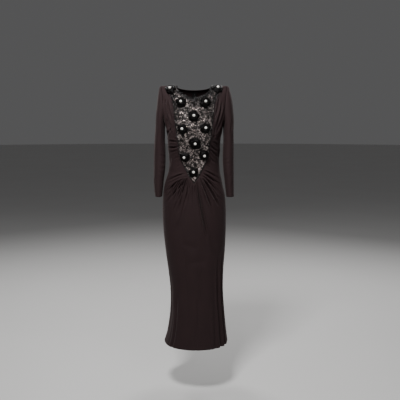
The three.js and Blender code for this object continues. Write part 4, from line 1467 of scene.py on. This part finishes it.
def brightness(x, w, random):
    """Beads are lightest in the middle and the lower half, in soft patches, and dark at the
    edges. Towards the upper right the dark edge is wider, and that extra width is painted shade."""
    depth = np.interp(-w, DOWN, DOWN_DEPTH)
    half = np.interp(depth**2, [-BIB_TURN[1], -BIB_TIP], [BIB_TURN[0], 6])
    half = np.where(depth**2 < -BIB_TURN[1], bib_half(-np.minimum(depth**2, -BIB_TURN[1])), half)
    rim = w_of(-neckline_drop(np.clip(np.abs(x) / NECK_SIDE, 0, 1))) - w
    # Width of the dark border: 13 mm of darker border beads all round, plus 9 mm more at the upper right,
    # which is painted shade
    fade = 13 + 9 * soft(x / 40) * soft((w + 330) / 120)
    edge = soft((half - np.abs(x) + 1) / fade) * soft(rim / 26)
    low = soft((-w - 90) / 220)
    patches = np.sin(x / 13 + 2 * np.sin(w / 29)) * np.sin(w / 17 + 1.3 * np.sin(x / 21))
    cells = (np.floor(place / GRAIN_CELL).astype(int) % GRAIN_COUNT for place in (x, w))
    grain = (np.random.default_rng(3).uniform(0, 1, (GRAIN_COUNT, GRAIN_COUNT)) ** 2)[tuple(cells)]
    shade = (0.22 + 0.44 * low + 0.13 * patches) * (0.2 + 0.8 * edge) * (0.1 + 2.7 * grain)
    return np.clip(shade + random.normal(0, 0.04, x.shape), 0, 1) ** 1.6


def hex_places(pitch, jitter, random):
    """Staggered rows over the whole bib, each place moved a little."""
    x = np.arange(-134, 134, pitch)
    w = -np.arange(0, DOWN[-1], pitch * 0.87)
    x, w = np.meshgrid(x, w)
    x = x + (np.arange(len(x)) % 2)[:, None] * pitch / 2
    x, w = x.ravel(), w.ravel()
    return x + random.uniform(-jitter, jitter, x.shape), w + random.uniform(-jitter, jitter, w.shape)


def make_sequins(random):
    """Cupped sequins in staggered rows, each leant its own way."""
    x, w = hex_places(4.0, 0.5, random)
    kept = inside_bib(x, w, 3.5) & (from_flowers(x, w) > 0.6)
    x, w = x[kept], w[kept]
    points, axes = on_bib(x, w, 0.75)
    axes = tilted(headed(axes, random.uniform(0, TURN, len(x))), random, 0.26)
    size = np.full((len(x), 3), 2.05)
    tone = brightness(x, w, random) * (0.2 + 2.4 * random.uniform(0, 1, len(x)) ** 3)
    return bead_piece("bib_sequins", sequin_shape(), points, axes, size, np.clip(tone, 0, 1), SEQUIN)


def motif_beads():
    """Seeds and tubes of all leaves and curls, as rows of x, w and heading."""
    seeds, tubes = [], []
    for k, row in enumerate(rows_of(LEAVES)):
        outline, filling = leaf_beads(row["length"], row["width"], 2.5 if k % 2 else -2.5)
        where = math.radians(row["turn"]), row["x"], float(w_of(row["z"]))
        seeds.append(turned(outline, *where))
        tubes.append(turned(filling, *where))
    for row in rows_of(CURLS):
        where = math.radians(row["turn"]), row["x"], float(w_of(row["z"]))
        seeds.append(turned(curl_beads(row["length"], row["width"]), *where))
    for k, flower in enumerate(rows_of(FLOWERS)):
        for spoke in range(6):
            turn = math.radians(flower["turn"] + 60 * spoke + (11 if k % 2 else -7))
            outline, filling = leaf_beads(19, 7.5, 2 if spoke % 2 else -2)
            reach = flower["radius"] + 7
            x = flower["x"] + reach * math.cos(turn)
            where = turn, x, float(w_of(flower["z"])) + reach * math.sin(turn)
            seeds.append(turned(outline, *where))
            tubes.append(turned(filling, *where))
    return np.concatenate(seeds), np.concatenate(tubes)


def shown_on_bib(rows, margin=3.0, clear=0.8):
    """The rows that lie on the bib and clear of the flowers' middles."""
    x, w = rows[:, 0], rows[:, 1]
    return rows[inside_bib(x, w, margin) & (from_flowers(x, w) > clear)]


def thinned(rows, taken, cell):
    """The rows whose cell of a coarse grid holds none of the taken places and no earlier row."""
    def key(places):
        return np.round(places[:, :2] / cell).astype(int) @ (1, 4096)

    _, first = np.unique(key(rows), return_index=True)
    rows = rows[np.sort(first)]
    return rows[~np.isin(key(rows), key(taken))] if len(taken) else rows


def make_motif_beads(random):
    """Seeds on the leaves' and curls' lines and tubes in the leaves; the seeds' rows."""
    motif, tubes = motif_beads()
    motif = thinned(shown_on_bib(motif), motif[:0], 1.5)
    tubes = thinned(shown_on_bib(tubes), motif, 1.5)
    points, axes = on_bib(motif[:, 0], motif[:, 1], 1.9)
    size = np.full((len(motif), 3), SEED) * random.uniform(0.88, 1.1, (len(motif), 1))
    tone = np.clip(brightness(motif[:, 0], motif[:, 1], random) * 1.5 + 0.04, 0, 1)
    bead_piece("bib_leaf_beads", ball_shape(), points, headed(axes, motif[:, 2]), size, tone, SILVER)

    points, axes = on_bib(tubes[:, 0], tubes[:, 1], 1.8)
    size = np.tile((1.9, 0.8, 0.8), (len(tubes), 1))
    tone = np.clip(brightness(tubes[:, 0], tubes[:, 1], random) * 0.8, 0, 1)
    bead_piece("bib_tube_beads", tube_shape(), points, headed(axes, tubes[:, 2]), size, tone, SILVER)
    return motif


def make_scroll_beads(random, motif):
    """Commas of six seeds on arcs of one radius, turned by a slow swirl, where the motifs leave room."""
    x, w = hex_places(8.2, 1.6, random)
    swirl = 1.8 * np.sin(x / 23 + 1.3) + 1.6 * np.cos(w / 31 - 0.4) + 1.1 * np.sin((x + w) / 41)
    comma = np.linspace(-0.9, 0.9, 6)
    c, s = np.cos(swirl[:, None]), np.sin(swirl[:, None])
    bead_x = x[:, None] + COMMA_RADIUS * (np.cos(comma) * c - np.sin(comma) * s)
    bead_w = w[:, None] + COMMA_RADIUS * (np.cos(comma) * s + np.sin(comma) * c)
    comma_tone = np.repeat(random.uniform(0, 1, len(x)) ** 2.2, comma.size)
    rows = np.column_stack([bead_x.ravel(), bead_w.ravel(), comma_tone])
    rows = thinned(shown_on_bib(rows, 3.0, 0.75), motif, 1.9)
    points, axes = on_bib(rows[:, 0], rows[:, 1], 1.6)
    size = np.full((len(rows), 3), SEED) * random.uniform(0.85, 1.1, (len(rows), 1))
    tone = np.clip(brightness(rows[:, 0], rows[:, 1], random) * (0.3 + 2.6 * rows[:, 2]), 0, 1)
    bead_piece("bib_scroll_beads", ball_shape(), points, axes, size, tone, SILVER)


def edge_beads(line, inward, pitch, radius, height):
    """Beads along a seam line of places, moved inwards on the cloth; points, axes and sizes."""
    run_points = place_of(line)
    run = run_along(run_points)
    at = np.arange(pitch / 2, run[-1], pitch)
    angle, depth = (np.interp(at, run, line[:, k]) for k in (0, 1))
    base = gown_point(angle, depth)
    along = unit(np.stack([np.interp(at + 0.2, run, run_points[:, k]) for k in range(3)], -1) - base)
    out = gown_normal(angle, depth)
    inner = np.cross(along, out)
    points = base + inner * inward + out * height
    return points, np.stack([along, inner, out], 1), np.full((len(points), 3), radius)


def scallop_beads(line, pitch, reach):
    """Small arches of beads that stand along the neckline's edge."""
    points, axes, _ = edge_beads(line, 0.6, pitch, 1, 0.3)
    turn = np.linspace(0, math.pi, 10)
    across = np.cos(turn)[None, :, None] * pitch * 0.46 * axes[:, None, 0]
    away = np.sin(turn)[None, :, None] * reach * -axes[:, None, 1]
    placed = (points[:, None] + across + away).reshape(-1, 3)
    return placed, np.repeat(axes, len(turn), 0), np.full((len(placed), 3), 0.95)


def strewn_past_edge(side, reach, count, random):
    """Loose beads that run out from the bib's side edge on to the jersey, fewer further out."""
    line = bib_side_edge() if side > 0 else mirrored(bib_side_edge())
    row = random.uniform(0.1, 0.99, count) * (len(line) - 1)
    angle, depth = (np.interp(row, np.arange(len(line)), line[:, k]) for k in (0, 1))
    away = 1.5 + reach * random.uniform(0, 1, count) ** 1.7
    angle = angle + side * away / np.linalg.norm(gown_slopes(angle, depth)[0], axis=-1)
    across, out = unit(gown_slopes(angle, depth)[0]), gown_normal(angle, depth)
    base = gown_point(angle, depth)
    points = base + out * (front_lift(base) + 0.7)[:, None]
    return points, axes_of(across, out), np.tile(random.uniform(0.8, 1.2, (count, 1)), 3)


SCALLOP_PITCH = 15.5


def make_edge_beads(random):
    """Jet beads: arches and two rows along the neckline, two rows down each border, and strays."""
    neck = whole_line(front_neckline(60)[::-1])
    side = bib_side_edge()
    upper, lower = straight(BIB_TURN, BIB_WAIST, 30), straight(BIB_WAIST, (0, BIB_TIP), 20)
    half = [side, upper, lower]
    borders = half + [mirrored(line)[::-1] for line in half]
    rows = [
        scallop_beads(neck, SCALLOP_PITCH, 5.5),
        scallop_beads(neck, SCALLOP_PITCH, 3.4),
        edge_beads(neck, 1.6, 2.6, 1.3, 0.9),
        edge_beads(neck, 5.2, 3.6, 1.1, 0.9),
    ]
    for line in borders:
        rows += [edge_beads(line, 2.0, 3.3, 1.35, 0.9), edge_beads(line, 5.4, 4.6, 1.0, 0.9)]
    rows += [strewn_past_edge(1, 17, 380, random), strewn_past_edge(-1, 9, 170, random)]
    points, axes, size = (np.concatenate(part) for part in zip(*rows))
    tone = random.uniform(0, 1, len(points)) ** 2
    return bead_piece("bib_edge_beads", ball_shape(), points, axes, size, tone, JET)


# Flowers


def flower_rates(flower):
    """Place of a flower's middle, and how many millimetres its angle and depth stand for."""
    angle, depth = spot(flower["x"], flower["z"])
    across, down = gown_slopes(angle, depth)
    return angle, depth, np.linalg.norm(across), np.linalg.norm(down)


def over_flower(flower, radius, around, height):
    """Points at a polar place round a flower's middle, lifted off the gown."""
    angle, depth, across_rate, down_rate = flower_rates(flower)
    angle = angle + radius * np.cos(around) / across_rate
    depth = depth - radius * np.sin(around) / down_rate
    out = gown_normal(angle, depth)
    return gown_point(angle, depth) + out * (FLOWER_GAP + np.asarray(height))[..., None]


PETAL_ROWS = table("count reach width base crest rim lean", [
    (5, 1.0, 0.53, 1.8, 7.8, 3.4, 1.1),
    (5, 0.70, 0.46, 4.2, 7.6, 9.4, 0.8),
    (4, 0.44, 0.30, 5.6, 4.6, 10.2, 0.5),
])
PETAL_CLOTH = 0.5  # thickness of a petal
RING_BEADS = 11


def petal_shell(flower, layer, turn, phase, reach):
    """One petal as a thin wall. It widens as a root of the way out and ends in a rounded rim;
    it rises from the heart, crests, and its rim is waved, with one side over the next petal."""
    s = steps(13)[:, None]
    t = np.linspace(-1, 1, 12)[None, :]
    start = 3.4
    length = flower["radius"] * layer["reach"] * reach - start
    along = start + length * (s - 0.34 * s**2 * np.abs(t) ** 1.7 + 0.03 * s**3 * np.sin(5 * t + phase))
    half = flower["radius"] * layer["width"] * (0.24 + 0.98 * s**0.8 - 0.36 * s**3)
    across = t * half
    crest = layer["crest"] * np.sin(math.pi * s**0.85) * (1 - 0.35 * t**2)
    height = mix(layer["base"], layer["rim"], s) + crest
    ruffle = 1.5 * s**2 * np.sin(3.6 * t + phase) + 0.7 * s**3 * np.sin(8.5 * t + 2 * phase)
    fold = -1.1 * np.exp(-((t / 0.13) ** 2)) * s * (1 - s) * 2
    height = height + ruffle + fold + layer["lean"] * t
    radius = np.hypot(along, across)
    around = turn + np.arctan2(across, along)
    outer = over_flower(flower, radius, around, np.maximum(height, 0.7))
    normal = unit(np.cross(np.gradient(outer, axis=0), np.gradient(outer, axis=1)))
    return closed_shell(outer, outer - normal * PETAL_CLOTH, cloth_uv(outer))


def make_flower(number, flower):
    """Three rings of satin petals, the inner one small, with the pearl; the flower's jet beads."""
    random = np.random.default_rng(100 + number)
    shells = []
    for k, layer in enumerate(rows_of(PETAL_ROWS)):
        for petal in range(int(layer["count"])):
            turn = math.radians(flower["turn"]) + TURN * (petal + 0.5 * (k % 2)) / layer["count"]
            turn += random.normal(0, 0.08)
            phase, reach = random.uniform(0, TURN), random.uniform(0.9, 1.04)
            shells.append(petal_shell(flower, layer, turn, phase, reach))
    label = f"{number:02d}"
    shape = joined(shells)
    area = sum(cloth_area(points, faces) for points, faces, _ in shells) / 2 * MM * MM
    made = piece(f"petals_{label}", shape, PETAL, replaced=[f"flower_{label}"])

    heart = over_flower(flower, np.array(0.0), np.array(0.0), FLOWER_SEAT + PEARL_RADIUS + PEARL_GAP)
    ball, faces = round_form(14)
    wobble = 1 + 0.012 * np.sin(3 * ball[:, :1] + number) * np.sin(2 * ball[:, 1:2] - number)
    pearl = heart + ball * PEARL_RADIUS * wobble
    shape = pearl, faces, None
    piece(f"pearl_bead_{label}", shape, PEARL, replaced=[f"pearl_{label}"], crease_angle=80)
    return heart_beads(flower, number)


def cloth_area(points, faces):
    """Area of four-sided faces, from half their diagonals' cross products."""
    a, b, c, d = (points[faces[:, k]] for k in range(4))
    return np.linalg.norm(np.cross(c - a, d - b), axis=1).sum() / 2


def heart_beads(flower, number):
    """Ring of jet beads round the pearl, and a few along each outer petal's vein."""
    radius = [np.full(RING_BEADS, 8.0)]
    turn = [even_turns(RING_BEADS) + number]
    height = [np.full(RING_BEADS, 10.6)]
    for petal in range(5):
        centre = math.radians(flower["turn"]) + TURN * petal / 5
        radius.append(flower["radius"] * np.array([0.76, 0.84, 0.92]))
        turn.append(np.full(3, centre) + np.array([-0.02, 0.03, -0.01]))
        height.append(np.array([9.2, 7.6, 6.0]))
    radius, turn, height = (np.concatenate(part) for part in (radius, turn, height))
    points = over_flower(flower, radius, turn, height)
    axes = np.tile(np.eye(3), (len(points), 1, 1))
    return points, axes, np.full((len(points), 3), 0.9)


# Zip


ZIP_HALF_WIDTH = 12
ZIP_GAP = 0.7
ZIP_THICKNESS = 1.0
ZIP_SKIRT_ROW = 4
TOOTH_PITCH = 1.8


def zip_places(count):
    """Depths down the centre back that the tape covers, and the angle of the middle there."""
    bodice = downwards(0, -NECK_BACK, WAIST_BACK, 17)[1:, 1]
    skirt = np.sqrt(-mix(WAIST_BACK, HEM, np.array(SKIRT_ROWS[1 : ZIP_SKIRT_ROW + 1])))
    depth = finer(np.concatenate([bodice, skirt]), count)
    return depth, ring(depth)[0]


def make_zip():
    """Woven tape inside the centre back, and the coil's teeth on its inner side."""
    depth, middle = zip_places(8)
    share = np.linspace(-1, 1, 13)
    angle = angle_of(middle[:, None] + share * ZIP_HALF_WIDTH, -(depth**2)[:, None])
    at = -depth[:, None] + 0 * angle
    out = gown_normal(angle, at)
    ridge = 0.25 * np.exp(-(((np.abs(share) - 0.2) / 0.06) ** 2))
    outer = gown_point(angle, at) - out * (SOLID_WALL + ZIP_GAP)
    inner = outer - out * (ZIP_THICKNESS * 0.6 + ridge)[None, :, None]
    shape = closed_shell(outer, inner, cloth_uv(outer))
    tape = piece("zip_tape_cloth", shape, TAPE, replaced=["zip_tape"])

    line = gown_point(angle_of(middle, -(depth**2)), -depth)
    run = run_along(line)
    tooth = np.arange(6, run[-1] - 6, TOOTH_PITCH / 2)
    tooth_depth = np.interp(tooth, run, depth)
    side = np.where(np.arange(len(tooth)) % 2, 1.0, -1.0)
    x = ring(tooth_depth)[0] + side * 0.9
    angle = angle_of(x, -(tooth_depth**2))
    out = gown_normal(angle, -tooth_depth)
    points = gown_point(angle, -tooth_depth) - out * (SOLID_WALL + ZIP_GAP + 1.1)
    across = unit(gown_slopes(angle, -tooth_depth)[0])
    size = np.tile((1.5, 0.36, 0.45), (len(points), 1))
    tone = np.full(len(points), 0.3)
    axes = axes_of(across, out)
    teeth = bead_piece("zip_coil", tube_shape(), points, axes, size, tone, JET)


def paint_nodes():
    """The zip's slider and pull keep their solids, in enamel."""
    for name in ("zip_slider", "zip_pull"):
        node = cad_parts[name]
        node.data.materials.clear()
        node.data.materials.append(ENAMEL.material)


# Room


FLOOR_HEIGHT = -1.5
FLOOR_RADIUS = 30
FLOOR_SIDES = 64


def make_floor():
    """A wide pale disc that the part hangs over."""
    turn = even_turns(FLOOR_SIDES)
    round_edge = FLOOR_RADIUS * np.cos(turn), FLOOR_RADIUS * np.sin(turn)
    points = np.column_stack([*round_edge, np.full(FLOOR_SIDES, FLOOR_HEIGHT)])
    mesh = bpy.data.meshes.new("floor")
    mesh.from_pydata(points.tolist(), [], [list(range(FLOOR_SIDES))])
    floor = bpy.data.objects.new("floor", mesh)
    mesh.materials.append(floor_finish().material)
    bpy.context.scene.collection.objects.link(floor)


CAMERA = {"place": (0.0285, -3.06, -0.152), "tilt": 82.5, "lens": 56.25, "sensor": 36}


def make_camera():
    """From the front at chest height, looking slightly down."""
    data = bpy.data.cameras.new("camera")
    data.lens = CAMERA["lens"]
    data.sensor_width = CAMERA["sensor"]
    camera = bpy.data.objects.new("camera", data)
    camera.location = CAMERA["place"]
    camera.rotation_euler = (math.radians(CAMERA["tilt"]), 0, 0)
    bpy.context.scene.collection.objects.link(camera)
    bpy.context.scene.camera = camera


LIGHTS = [
    ("key", (-0.36, -1.35, 1.3), (0, 0, -0.45), 0.45, 66),
    ("fill", (1.4, -2.3, 0.2), (0, 0, -0.6), 1.2, 8),
    ("back_left", (-1.6, 2.2, 1.4), (0, 0, -0.5), 1.2, 50),
    ("back_right", (1.5, 2.4, 1.1), (0, 0, -0.6), 1.2, 45),
]


def make_lights():
    """Soft square lamps, each turned to its aim."""
    for name, place, aim, size, power in LIGHTS:
        data = bpy.data.lights.new(name, "AREA")
        data.size, data.energy = size, power
        lamp = bpy.data.objects.new(name, data)
        lamp.location = place
        lamp.rotation_euler = (Vector(aim) - Vector(place)).to_track_quat("-Z", "Y").to_euler()
        bpy.context.scene.collection.objects.link(lamp)
    world = bpy.data.worlds.new("pale_room")
    world.use_nodes = True
    surround = world.node_tree.nodes["Background"]
    surround.inputs["Color"].default_value = (0.86, 0.86, 0.87, 1)
    surround.inputs["Strength"].default_value = 0.11
    bpy.context.scene.world = world


make_camera()
make_lights()
make_floor()

random = np.random.default_rng(7)
creases = {"left": LEFT_SLEEVE_CREASES, "right": RIGHT_SLEEVE_CREASES}
cloths = [make_bib()]
cloths += [make_side_front(*side) for side in SIDES]
cloths += [make_bodice_back(*side) for side in SIDES]
cloths += [make_skirt_front()]
cloths += [make_skirt_back(*side) for side in SIDES]
cloths += [make_sleeve(side, word, creases[word]) for side, word in SIDES]

make_sequins(random)
make_scroll_beads(random, make_motif_beads(random))
make_edge_beads(random)
hearts = [make_flower(k + 1, flower) for k, flower in enumerate(rows_of(FLOWERS))]
points, axes, size = (np.concatenate(part) for part in zip(*hearts))
tone = np.full(len(points), 0.6)
bead_piece("flower_beads", ball_shape(), points, axes, size, tone, JET)
make_zip()
paint_nodes()
